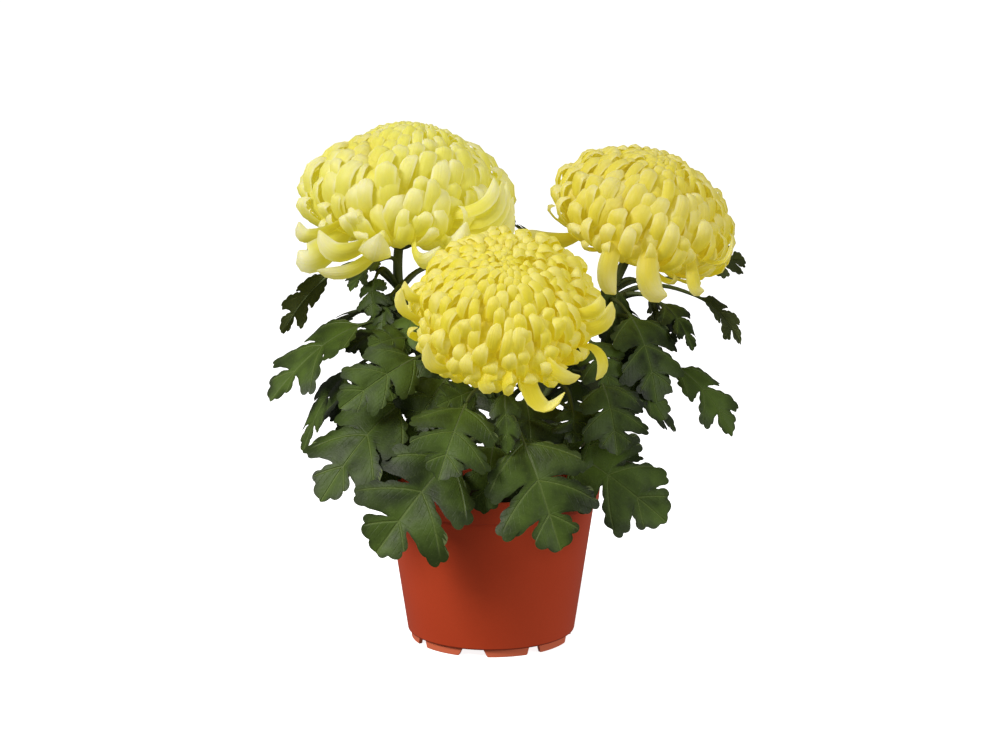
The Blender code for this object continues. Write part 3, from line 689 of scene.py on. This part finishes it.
# %% A leaf's outline
# Share of the length, share of the half width, midrib point it hangs on, size of teeth.
LEAF_OUTLINE = np.array(
    (
        (0.00, 0.000, 0.00, 0.0),
        (0.05, 0.040, 0.03, 0.0),
        (0.12, 0.075, 0.07, 0.0),
        (0.165, 0.19, 0.11, 0.2),
        (0.19, 0.40, 0.15, 0.6),
        (0.25, 0.63, 0.18, 1.0),
        (0.33, 0.81, 0.21, 1.0),
        (0.42, 0.90, 0.24, 1.0),
        (0.49, 0.87, 0.28, 0.9),
        (0.515, 0.72, 0.33, 0.6),
        (0.485, 0.49, 0.38, 0.2),
        (0.455, 0.24, 0.42, 0.0),
        (0.50, 0.41, 0.45, 0.3),
        (0.56, 0.60, 0.48, 0.8),
        (0.64, 0.81, 0.51, 1.0),
        (0.73, 0.90, 0.54, 1.0),
        (0.795, 0.84, 0.58, 0.9),
        (0.81, 0.65, 0.62, 0.5),
        (0.77, 0.42, 0.66, 0.2),
        (0.745, 0.20, 0.69, 0.0),
        (0.785, 0.35, 0.73, 0.4),
        (0.85, 0.44, 0.79, 1.0),
        (0.90, 0.41, 0.85, 1.0),
        (0.95, 0.27, 0.92, 0.8),
        (0.985, 0.12, 0.97, 0.4),
        (1.00, 0.000, 1.00, 0.0),
    )
)
OUTLINE_STEPS = 5
TEETH = 17
TOOTH_DEPTH = 0.045
LEAF_ASPECT = 0.45


def through(points, steps):
    """Smooth curve through points: cubic pieces whose slopes come from the neighbours."""
    ends = 2 * points[:1] - points[1:2], 2 * points[-1:] - points[-2:-1]
    padded = np.concatenate([ends[0], points, ends[1]])
    before, start, end, after = padded[:-3], padded[1:-2], padded[2:-1], padded[3:]
    share = np.linspace(0, 1, steps, endpoint=False)[:, None, None]
    curve = 0.5 * (
        2 * start
        + (end - before) * share
        + (2 * before - 5 * start + 4 * end - after) * share**2
        + (3 * start - before - 3 * end + after) * share**3
    )
    return np.concatenate([curve.transpose(1, 0, 2).reshape(-1, points.shape[1]), points[-1:]])


def half_outline(draw):
    """One half of a leaf: the drawn outline, each lobe stretched a little, and teeth.

    The teeth are a rectified sine of the distance walked, added square to the outline.
    """
    table = LEAF_OUTLINE.copy()
    for rows in (slice(3, 12), slice(11, 20), slice(20, None)):
        table[rows, 1] *= draw.uniform(0.88, 1.12)
        table[rows, 0] += 0.02 * draw.uniform(-1, 1) * (table[rows, 3] > 0)
    line = through(table, OUTLINE_STEPS)
    flat = line[:, :2] * (1, LEAF_ASPECT)
    along = unit(np.gradient(flat, axis=0))
    outwards = np.stack([-along[:, 1], along[:, 0] / LEAF_ASPECT], axis=-1)
    walked = np.cumsum(np.linalg.norm(np.diff(flat, axis=0, prepend=flat[:1]), axis=1))
    phase = walked / walked[-1] * TEETH * math.pi + draw.uniform(0, math.pi)
    tooth = TOOTH_DEPTH * np.clip(line[:, 3], 0, 1) * (np.abs(np.sin(phase)) ** 0.7 - 0.6)
    return line[:, :2] + tooth[:, None] * outwards, line[:, 2]


demo_edge, _ = half_outline(np.random.default_rng(1))
print("outline points in half a leaf:", len(demo_edge))

# %% [markdown]
# The blade isn't flat. The midrib arches over and droops, each half lifts off it like a
# shallow V, the lobes fall again, and the margin ripples. Adding these offsets along the
# leaf's own upward direction keeps the formula short.

# %% A leaf in space
LEAF_ROWS = 5
LEAF_THICKNESS = 0.55 * MM


def leaf_axes(base, tip, roll):
    """Along the midrib, across it, and out of the upper face of a leaf."""
    along = unit(tip - base)
    middle = (base + tip) / 2
    outwards = unit(np.array((middle[0], middle[1], 0)))
    forwards = np.clip((30 * MM - middle[1]) / (60 * MM), 0, 1)
    upwards = 0.55 * outwards + np.array((0, -0.75 * forwards, 0.62))
    across = unit(np.cross(upwards, along))
    face = np.cross(along, across)
    turn = math.radians(roll)
    return (
        along,
        math.cos(turn) * across + math.sin(turn) * face,
        math.cos(turn) * face - math.sin(turn) * across,
    )


def blade_points(base, tip, width, roll, u, v, ripple=0.0, phase=0.0):
    """Base, plus u along, v across, and an arch, a V and a ripple out of the face."""
    along, across, face = leaf_axes(base, tip, roll)
    length = np.linalg.norm(tip - base)
    lift = 0.42 * length * u * (1 - u) * (1.25 - 0.5 * u)
    fold = width * (0.15 * np.abs(v) - 0.17 * v**2)
    wave = ripple * width * v**2 * np.sin(8 * u + phase + 1.7 * np.sign(v))
    flat = base + u[..., None] * length * along + (v * width / 2)[..., None] * across
    return flat + (lift + fold + wave)[..., None] * face


def add_leaf(skin, base, tip, width, roll, draw):
    """Fan between midrib and margin, over and under, closed where the two meet."""
    left, hook = half_outline(draw)
    right, _ = half_outline(draw)
    edge = np.concatenate([left, (right * (1, -1))[::-1]])
    hook = np.concatenate([hook, hook[::-1]])
    reach = np.concatenate([np.linspace(0, 1, LEAF_ROWS + 1), np.linspace(1, 0, LEAF_ROWS + 1)[1:]])
    reach = reach[:, None]
    u = hook + (edge[:, 0] - hook) * reach
    v = edge[:, 1] * reach
    under = np.arange(2 * LEAF_ROWS + 1)[:, None] > LEAF_ROWS
    thick = LEAF_THICKNESS * (1 - 0.6 * reach) * (np.abs(4 * hook * (1 - hook)) ** 0.3)
    thick = np.where(reach == 1, 0, thick) * np.where(under, -0.5, 0.5)
    phase = draw.uniform(0, 6)
    points = blade_points(base, tip, width, roll, u, v, 0.07, phase)
    points = points + thick[..., None] * leaf_axes(base, tip, roll)[2]
    tint = draw.uniform()
    uv = np.stack([u, 0.5 + 0.5 * v], axis=-1)
    faces = grid_faces(*u.shape)
    looks = np.arange(len(faces)) // (u.shape[1] - 1) >= LEAF_ROWS
    rim = np.broadcast_to(reach, u.shape)
    skin.add(points + POT_AXIS, faces, uv, 0, tint=tint, rim=rim)
    skin.looks[-1] = looks.astype(int)
    return tint


# %% [markdown]
# The stalk leaves the stem with a bend and runs on under the blade as the raised midrib,
# thinner and thinner towards the tip.

# %% Stalks and midribs
def add_stalk(skin, stem, joint, base, tip, width, roll, tint):
    """Tube from the stem to the blade, then along the midrib's underside."""
    start = stem[np.argmin(np.abs(stem[:, 2] - joint))]
    shares = np.linspace(0, 0.9, 14)
    rib = blade_points(base, tip, width, roll, shares, 0 * shares)
    rib = rib - leaf_axes(base, tip, roll)[2] * 0.35 * MM
    along = unit(rib[1] - rib[0])
    reach = np.linalg.norm(rib[0] - start)
    rise = np.array((0, 0, 0.25 * reach))
    bend = bezier((start, start + (rib[0] - start) / 3 + rise, rib[0] - along * 0.4 * reach, rib[0]), 14)
    path = np.concatenate([bend[:-1], rib])
    radii = PETIOLE_RADIUS * np.concatenate([np.linspace(1.25, 0.8, 13), 0.62 * (1 - shares) ** 0.8 + 0.06])
    radii[13:] *= np.linspace(1, 0.8, 14)
    points = closed_tube(tube(path, radii, 8, 4, 0.08))
    skin.add(points + POT_AXIS, grid_faces(*points.shape[:2], ring=True), None, 2, tint=tint, rim=0.0)


# %% [markdown]
# Under each bloom sits the calyx, a cup of small green bracts that overlap like tiles.

# %% Stem and calyx
def add_stem(skin, which):
    """A ribbed tube along the stem's path, with its cup of bracts on top."""
    path = stem_path(which, 48)
    radii = np.linspace(STEM_RADIUS, STEM_TOP_RADIUS, len(path))
    points = closed_tube(tube(path, radii, 20, 5, 0.06))
    skin.add(points + POT_AXIS, grid_faces(*points.shape[:2], ring=True), None, 2, tint=0.5, rim=0.0)
    centre, turn = bloom_frame(which)
    top = -CORE_DEPTH - SEAT_GAP
    profile = rounded(
        (
            (0, top - CALYX_HEIGHT),
            (0.6 * STEM_TOP_RADIUS, top - CALYX_HEIGHT),
            (0.45 * CALYX_RADIUS, top - 0.8 * CALYX_HEIGHT),
            (0.85 * CALYX_RADIUS, top - 0.35 * CALYX_HEIGHT),
            (CALYX_RADIUS, top),
            (0, top),
        ),
        1.5 * MM,
    )
    cup = turned(profile, 64)
    scales = 1 + 0.05 * np.abs(np.sin(8 * np.arange(64) * 2 * math.pi / 64))
    cup[..., :2] *= scales[:, None]
    skin.add(cup @ turn.T + centre + POT_AXIS, grid_faces(*cup.shape[:2], ring=True), None, 2,
             tint=0.3, rim=0.0)


# %% [markdown]
# ## Leaf green
#
# The upper face is a deep dull green with paler sunken veins; the underside is greyer. The
# veins are drawn from the leaf's own UV map: a main vein is where the distance to a line
# from the midrib to a lobe's tip is small, and the side veins are waves along that line.

# %% Leaf finishes
VEINS = (((0.13, 0.0), (0.42, 0.88)), ((0.45, 0.0), (0.74, 0.88)), ((0.72, 0.0), (0.90, 0.42)),
         ((0.09, 0.0), (0.24, 0.55)))


def vein_map(finish):
    """Main veins, side veins and the band along the main ones for a painted sheen, each from 0 to 1."""
    u, y = finish.grid()
    v = abs(y * 2 - 1) * LEAF_ASPECT
    main = 1 - v.step(0.002, 0.013)
    near = v
    sides = None
    for (u0, _), (u1, v1) in VEINS:
        run, climb = u1 - u0, v1 * LEAF_ASPECT
        length = math.hypot(run, climb)
        along = ((u - u0) * run + v * climb) / length
        bow = along * (length - along) * 0.35
        apart = abs(((u - u0) * climb - v * run) / length + bow)
        inside = along.step(-0.01, 0.01) * (1 - along.step(length * 0.85, length * 1.05))
        main = main.most((1 - apart.step(0.002, 0.011)) * inside)
        near = near.least(apart + (1 - inside))
        comb = ((along - apart * 1.1) * 15).maths("PINGPONG", (along - apart * 1.1) * 15, 0.5)
        line = (1 - comb.step(0.02, 0.12)) * inside * (1 - apart.step(0.05, 0.13))
        sides = line if sides is None else sides.most(line)
    return main, sides, 1 - near.step(0.0, 0.07)


def leaf_finish(name, dark, light, vein, roughness):
    """Blotched green with veins, a painted sheen along the main veins and painted shade at the margin; the
    relief sinks at the veins and swells between them.
    """
    made = Finish(name, Roughness=roughness, Specular_IOR_Level=0.25)
    place = made.place()
    tint = made.attribute("tint")
    rim = made.attribute("rim")
    blotch = made.noise(place, 55, 5)
    cloud = made.noise(place, 16, 3)
    speck = made.noise(place, 900, 2)
    main, sides, painted_sheen_band = vein_map(made)
    green = made.mix(blotch.step(0.35, 0.68) * 0.45 + cloud.step(0.35, 0.65) * 0.3 + tint * 0.35,
                     dark, light)
    # Painted sheen: the green lightens in a band along the midrib and main veins.
    green = made.mix(painted_sheen_band * 0.5, green, light)
    # Painted shade: the green darkens towards the margin.
    green = made.mix(rim.step(0.5, 1.0) * 0.5, green, dark)
    green = made.mix(main * 0.24, green, vein)
    green = made.mix(speck.step(0.55, 0.8) * 0.14, green, vein)
    made.set(Base_Color=green)
    made.set(Roughness=roughness - 0.1 + blotch * 0.2)
    made.bump(blotch * 1.6 - main * 0.5 - sides * 0.12 + speck * 0.2, 0.001, 0.8)
    return made.material


leaf_looks = [
    leaf_finish("leaf_upper", rgb(16, 24, 6), rgb(77, 99, 32), rgb(124, 138, 76), 0.5),
    leaf_finish("leaf_under", rgb(88, 100, 58), rgb(108, 120, 74), rgb(140, 150, 100), 0.7),
]
bark = Finish("stem_green", Roughness=0.6)
place = bark.place()
streak = bark.noise(place, 120, 4)
bark.set(Base_Color=bark.mix(streak, rgb(58, 74, 34), rgb(92, 104, 56)))
bark.bump(streak, 0.0004)
leaf_looks.append(bark.material)

# %% Three leafy stems
for number, which in enumerate(BLOOMS):
    draw = np.random.default_rng(40 + number)
    skin = Skin()
    add_stem(skin, which)
    fine = stem_path(which, 200)
    for joint, base, tip, width, roll in leaf_rows(which):
        tint = add_leaf(skin, base, tip, width, roll, draw)
        add_stalk(skin, fine, joint, base, tip, width, roll, tint)
    skin.piece(f"leafy_stem_{which}", leaf_looks, f"stem_{which}", weld=1e-6, sharp=80)

# %% [markdown]
# ## Blooms
#
# An incurved bloom is a ball of some two hundred petals. Each starts at the base of the
# head, climbs the outside of the ball as a cupped channel and curls in at its round tip.
# Petals follow one another by the golden angle, the turn at which no two ever line up, so
# the same rule that packs real florets packs these.

# %% One bloom's petals
PETALS = {"left": (250, 0.78), "right": (235, 0.78), "front": (290, 0.77)}
CLIMBING = 1.25
INNER_DEPTH = 0.15
INNER_COUNT = 0.6
DENTS = {"left": 0.12, "right": 0.0, "front": 0.0}
PETAL_THICKNESS = 0.7 * MM
WIDEST_POLAR = math.radians(119)
CROWDING = 0.80

# Rings of a petal from foot to tip: angle still to climb in petal spacings, distance as a
# share of the ball's, width as a share of the widest, half the angle its channel spans.
PETAL_RINGS = np.array(
    (
        (1.30, 0.40, 0.40, 34),
        (1.08, 0.62, 0.52, 38),
        (0.86, 0.76, 0.66, 41),
        (0.56, 0.86, 0.84, 43),
        (0.20, 0.93, 0.97, 44),
        (-0.20, 0.98, 1.00, 45),
        (-0.54, 1.00, 0.98, 48),
        (-0.80, 0.975, 0.86, 52),
        (-0.93, 0.92, 0.60, 58),
        (-0.93, 0.87, 0.12, 64),
    )
)
ACROSS = np.array((-1, -0.5, 0, 0.5, 1, 0.35, -0.35))
INSIDE = np.array((0, 0, 0, 0, 0, 1, 1))
CREASED = np.array((0, -0.4, 1, -0.4, 0, 0, 0))


def envelope(which, polar, turn=0.0):
    """Distance from a bloom's centre to its outside: a dome above, shallower below.

    A bloom with a dent is drawn in on one side of its top by a bell of polar angle.
    """
    bloom = BLOOMS[which]
    axial = np.where(polar < math.pi / 2, bloom["height"], 0.56 * bloom["radius"])
    dent = DENTS[which] * np.exp(-(((polar - math.radians(48)) / math.radians(24)) ** 2))
    dent = dent * np.maximum(-np.cos(turn), 0)
    return (1 - dent) * MM / np.hypot(np.sin(polar) / bloom["radius"], np.cos(polar) / axial)


def channels(path, side, out, half, opening, roll, crease):
    """Carries an arc of section along each path: radius = half width / sine of opening.

    The arc is turned about the path by the roll, and a second, smaller arc inside it
    closes the section, so that a petal is a thin curved sheet. The crease lifts or sinks
    its middle line by a share of the half width.
    """
    along = unit(np.gradient(path, axis=-2))
    side = unit(side - along * np.sum(side * along, axis=-1, keepdims=True))
    normal = np.cross(along, side)
    normal = normal * np.sign(np.sum(normal * out, axis=-1, keepdims=True))
    cosine, sine = np.cos(roll)[..., None], np.sin(roll)[..., None]
    side, normal = side * cosine + normal * sine, normal * cosine - side * sine
    radius = (half / np.sin(opening))[..., None]
    swing = ACROSS * opening[..., None]
    crease = crease * CREASED * half[..., None]
    shrunk = radius + crease - INSIDE * np.minimum(PETAL_THICKNESS, 0.6 * half)[..., None]
    sideways = (shrunk * np.sin(swing))[..., None] * side[..., None, :]
    inwards = (shrunk * np.cos(swing) - radius)[..., None] * normal[..., None, :]
    return path[..., None, :] + sideways + inwards


def ball_petals(which, turn, polar, reach, width, sway, curl, roll, spacing, crease, pinch):
    """The petals of a ball at once, as channels that rise out of the ball and hook over.

    Along a petal the polar angle falls, the distance grows until just before the tip and
    then shrinks, so that each tip stands in front of the petals behind it and curls in.
    """
    turn, polar, reach, width, sway, curl, roll, spacing, pinch = (
        value[:, None] for value in (turn, polar, reach, width, sway, curl, roll, spacing, pinch)
    )
    climb, distance, breadth, opening = PETAL_RINGS.T
    along = np.linspace(0, 1, len(PETAL_RINGS))
    climb = CLIMBING * climb * spacing / envelope(which, polar) * np.where(climb < 0, curl, 1)
    climb = np.maximum(climb, -0.75 * polar - 0.04)
    angle = np.minimum(polar + climb, math.radians(152))
    share = distance * (1 + (reach - 1) * along) - 0.04 * (curl - 1) * along**6
    heading = turn + sway * along**1.5
    sideways = np.stack([-np.sin(heading), np.cos(heading), 0 * heading], axis=-1)
    path = np.stack(
        [np.sin(angle) * np.cos(heading), np.sin(angle) * np.sin(heading), np.cos(angle)], axis=-1
    ) * (share * envelope(which, angle, heading))[..., None]
    half = width / 2 * breadth ** np.where(climb < 0, pinch, 1)
    opening = np.radians(opening) + 0 * half
    points = channels(path, sideways, path, half, opening, roll * along, crease[:, None, None])
    length = np.linalg.norm(points, axis=-1)
    depth = length / envelope(which, np.arccos(np.clip(points[..., 2] / length, -1, 1)))
    uv = np.stack(np.broadcast_arrays(along[:, None], 0.5 + ACROSS / 2, depth)[:2], axis=-1)
    return points, uv, depth


def spread(which, draw, depth, portion):
    """Turn, polar angle, reach, width, sway, curl, roll and spacing of a bloom's petals.

    The polar angle is a power of the petal's number, and the spacing is the square root
    of the surface that falls to each petal.
    """
    count, narrow = PETALS[which]
    count = round(count * portion)
    number = np.arange(count) + 0.5
    share = number / count
    polar = WIDEST_POLAR * share**CROWDING
    surface = 2 * math.pi * envelope(which, polar) ** 2 * np.sin(polar) * CROWDING * polar / number
    spacing = np.sqrt(surface)
    width = narrow * spacing * draw.uniform(0.80, 1.25, count)
    loose = share**1.5
    reach = 1 - 0.05 * np.exp(-number / 9) + 0.09 * (0.4 + loose) * draw.uniform(-1, 1, count)
    reach = reach - depth
    turn = np.arange(count) * GOLDEN_ANGLE + 0.07 * draw.uniform(-1, 1, count) + 9 * depth
    swirl = math.radians(60) * np.exp(-number / 20)
    lean = 0.45 * np.sin(2 * turn + 3 * polar + draw.uniform(0, 6)) + draw.uniform(-1, 1, count)
    shift = (0.45 + 0.4 * loose) * spacing * lean
    sway = swirl + shift / (envelope(which, polar) * np.sin(polar))
    curl = 1 + 0.4 * draw.uniform(-1, 1, count)
    roll = math.radians(32) * (0.35 + loose) * draw.uniform(-1, 1, count)
    polar = polar + 0.2 * spacing / envelope(which, polar) * draw.uniform(-1, 1, count)
    crease = 0.14 * draw.uniform(-1, 1, count)
    pinch = draw.uniform(0.7, 1.7, count)
    return turn, polar, reach, width, sway, curl, roll, spacing, crease, pinch


# Rings of a loose petal: width as a share of the widest, half the angle its channel spans.
LOOSE_RINGS = np.array(
    ((0.50, 35), (0.64, 38), (0.77, 41), (0.88, 44), (0.96, 46), (1.00, 48), (1.00, 50),
     (0.98, 52), (0.90, 54), (0.68, 56), (0.12, 58))
)


def loose_petals(which):
    """Channels along cubic curves; the hollow faces the inside of each petal's bend."""
    breadth, opening = LOOSE_RINGS.T
    rows = LOOSE_PETALS[which]
    path = np.array([bezier(np.array(row[:4]) * MM, len(breadth)) for row in rows])
    width, facing = np.array([row[4:] for row in rows], float).T[..., None]
    chord = path[:, -1:] - path[:, :1]
    out = path - (path[:, -1:] + path[:, :1]) / 2
    sideways = unit(np.cross(chord, path[:, len(breadth) // 2, None] - path[:, :1]))
    sideways = sideways * np.where(sideways[..., 1:2] < 0, -1, 1)
    half = width / 2 * MM * breadth
    opening = np.radians(opening) + 0 * half
    points = channels(
        path, sideways + 0 * path, out, half, opening, np.radians(facing) + 0 * half, 0.08
    )
    along = np.linspace(0, 1, len(breadth))[:, None]
    # Painted shade: depth starts at 0.84 at the root, so each loose petal turns gold towards its root.
    depth = 0.84 + 0.16 * along + 0 * points[..., 0]
    uv = np.stack(np.broadcast_arrays(along, 0.5 + ACROSS / 2, depth)[:2], axis=-1)
    return points, uv, depth


def petal_sheets(points, uv, depth, draw):
    """Closes each petal at its foot and tip; gives points, faces, UVs, depth and tint."""
    ends = points[:, [0, -1]].mean(axis=2, keepdims=True) + 0 * points[:, [0, -1]]
    points = np.concatenate([ends[:, :1], points, ends[:, 1:]], axis=1)
    uv = np.concatenate([uv[:, :1], uv, uv[:, -1:]], axis=1)
    depth = np.concatenate([depth[:, :1], depth, depth[:, -1:]], axis=1)
    count, rows, columns = depth.shape
    starts = np.arange(count)[:, None, None] * rows * columns
    faces = (grid_faces(rows, columns, ring=True) + starts).reshape(-1, 4)
    return points, faces, uv, depth, np.repeat(draw.uniform(size=count), rows * columns)


# %% [markdown]
# Petals let light through and throw it from one to the next, which is why the gaps between
# them glow a deeper yellow than their backs. Both are painted here: a painted shade turns the
# colour gold deeper into the ball, partly the petals' own deeper colour inside, and the petals
# emit a faint painted glow, gold deeper in. The backs are a pale lemon with faint lines along
# them, and the colour deepens towards the base of each petal.

# %% Petal finish
def petal_finish(name, pale, yellow, depth_shade_gold, through):
    """Pale back, yellow foot, a painted gold shade with depth, fine lines along it, and a painted glow for
    the light coming through.
    """
    # Emission Strength gives the petals a painted glow, though they are no lamp.
    made = Finish(name, Roughness=0.5, Subsurface_Weight=0.45, Subsurface_Scale=0.004,
                  Subsurface_Radius=(1.0, 0.8, 0.2), Specular_IOR_Level=0.3, Emission_Strength=0.27)
    along, across = made.grid()
    place = made.place()
    depth = made.attribute("depth")
    tint = made.attribute("tint")
    lines = made.noise(made.join(along * 1.5, across * 14, tint * 40), 1.0, 3)
    soft = made.noise(place, 60, 3)
    rim = abs(across - 0.5).step(0.3, 0.5)
    yellowing = (1 - along.step(0.35, 0.95)) * 0.8 + soft * 0.3 + tint * 0.35 - rim * 0.45
    colour = made.mix(yellowing.step(0.15, 1.1), pale, yellow)
    # Painted shade: deeper into the ball the colour turns gold, partly the petals' own colour inside.
    painted_depth_shade = 1 - depth.step(0.76, 0.97)
    colour = made.mix(painted_depth_shade * 0.9, colour, depth_shade_gold)
    colour = made.mix(lines.step(0.45, 0.75) * 0.25, colour, yellow)
    made.set(Base_Color=colour)
    made.set(Roughness=0.42 + lines * 0.15)
    # Painted glow: the petals emit light, gold deeper in, in place of the light that passes through them.
    made.set(Emission_Color=made.mix(painted_depth_shade * 0.5, through, depth_shade_gold))
    made.bump(lines + soft * 0.4, 0.0006, 0.6)
    return made.material


# Each row: pale back, yellow foot, gold of the painted depth shade, colour of the painted glow.
PETAL_COLOURS = {
    "left": (rgb(192, 190, 170), rgb(183, 180, 90), rgb(183, 168, 40), rgb(250, 240, 60)),
    "right": (rgb(188, 184, 144), rgb(178, 168, 64), rgb(172, 146, 34), rgb(244, 226, 46)),
    "front": (rgb(190, 185, 126), rgb(183, 173, 50), rgb(183, 156, 30), rgb(250, 232, 40)),
}
HEART_SHARE = 0.83

# %% Three blooms
for number, which in enumerate(BLOOMS):
    draw = np.random.default_rng(70 + number)
    centre, bloom_turn = bloom_frame(which)
    skin = Skin()
    for layer, portion in ((0.0, 1.0), (INNER_DEPTH, INNER_COUNT)):
        points, uv, depth = ball_petals(which, *spread(which, draw, layer, portion))
        points, faces, uv, depth, tint = petal_sheets(points, uv, depth, draw)
        skin.add(points @ bloom_turn.T + centre + POT_AXIS, faces, uv, 0, depth=depth, tint=tint)
    points, faces, uv, depth, tint = petal_sheets(*loose_petals(which), draw)
    skin.add(points + POT_AXIS, faces, uv, 0, depth=depth, tint=tint)
    # The heart's depth of 0.84 paints it in the gold of the painted depth shade.
    angle = np.radians(np.linspace(180, 0, 24))
    distance = np.where(angle > math.radians(125), 0.5, HEART_SHARE) * envelope(which, angle)
    heart = turned(np.stack([distance * np.sin(angle), distance * np.cos(angle)], axis=-1), 48)
    skin.add(heart @ bloom_turn.T + centre + POT_AXIS, grid_faces(*heart.shape[:2], ring=True),
             None, 0, depth=0.84, tint=0.5)
    look = petal_finish(f"petal_{which}", *PETAL_COLOURS[which])
    skin.piece(f"flower_{which}", [look], f"bloom_{which}", weld=1e-6, sharp=75)

# %% [markdown]
# ## Floor and light
#
# A plain pale floor runs far back, so it is also the backdrop. It shines a little itself,
# like a light table, so that shadows on it stay faint, and it throws no light back up at the
# plant. One large soft light from the upper left is the key, a weaker one from the right
# opens the shadows, and the sky fills the rest.

# %% Floor and lights
floor_mesh = bpy.data.meshes.new("floor")
far = 20.0
floor_mesh.from_pydata([(-far, -far, 0), (far, -far, 0), (far, far, 0), (-far, far, 0)], [],
                       [(0, 1, 2, 3)])
floor = bpy.data.objects.new("floor", floor_mesh)
bpy.context.scene.collection.objects.link(floor)
paper = Finish("floor_paper", Roughness=0.8, Emission_Strength=0.9)
cloud = paper.noise(paper.place(), 3, 2)
paper.set(Base_Color=paper.mix(cloud, (0.86, 0.86, 0.855, 1), (0.9, 0.9, 0.895, 1)))
paper.set(Emission_Color=(1, 1, 1, 1))
floor_mesh.materials.append(paper.material)
floor.visible_diffuse = False
floor.visible_glossy = False


def soft_light(name, place, aim, size, power, colour):
    """A square area light turned towards a point."""
    lamp = bpy.data.lights.new(name, "AREA")
    lamp.size = size
    lamp.energy = power
    lamp.color = colour
    made = bpy.data.objects.new(name, lamp)
    bpy.context.scene.collection.objects.link(made)
    made.location = place
    made.rotation_euler = (Vector(place) - Vector(aim)).to_track_quat("Z", "Y").to_euler()


AIM = (0, 0, 0.18)
soft_light("key", (-1.45, -1.0, 1.25), AIM, 0.7, 37, (1.0, 0.98, 0.95))
soft_light("top", (-0.2, -0.5, 2.3), AIM, 0.9, 12, (1.0, 1.0, 1.0))
soft_light("fill", (1.6, -1.0, 0.5), AIM, 0.9, 14, (1.0, 1.0, 1.0))
world = bpy.data.worlds.new("studio")
bpy.context.scene.world = world
world.use_nodes = True
world.node_tree.nodes["Background"].inputs["Color"].default_value = (1, 1, 1, 1)
world.node_tree.nodes["Background"].inputs["Strength"].default_value = 0.18
bpy.context.scene.view_settings.view_transform = "Standard"
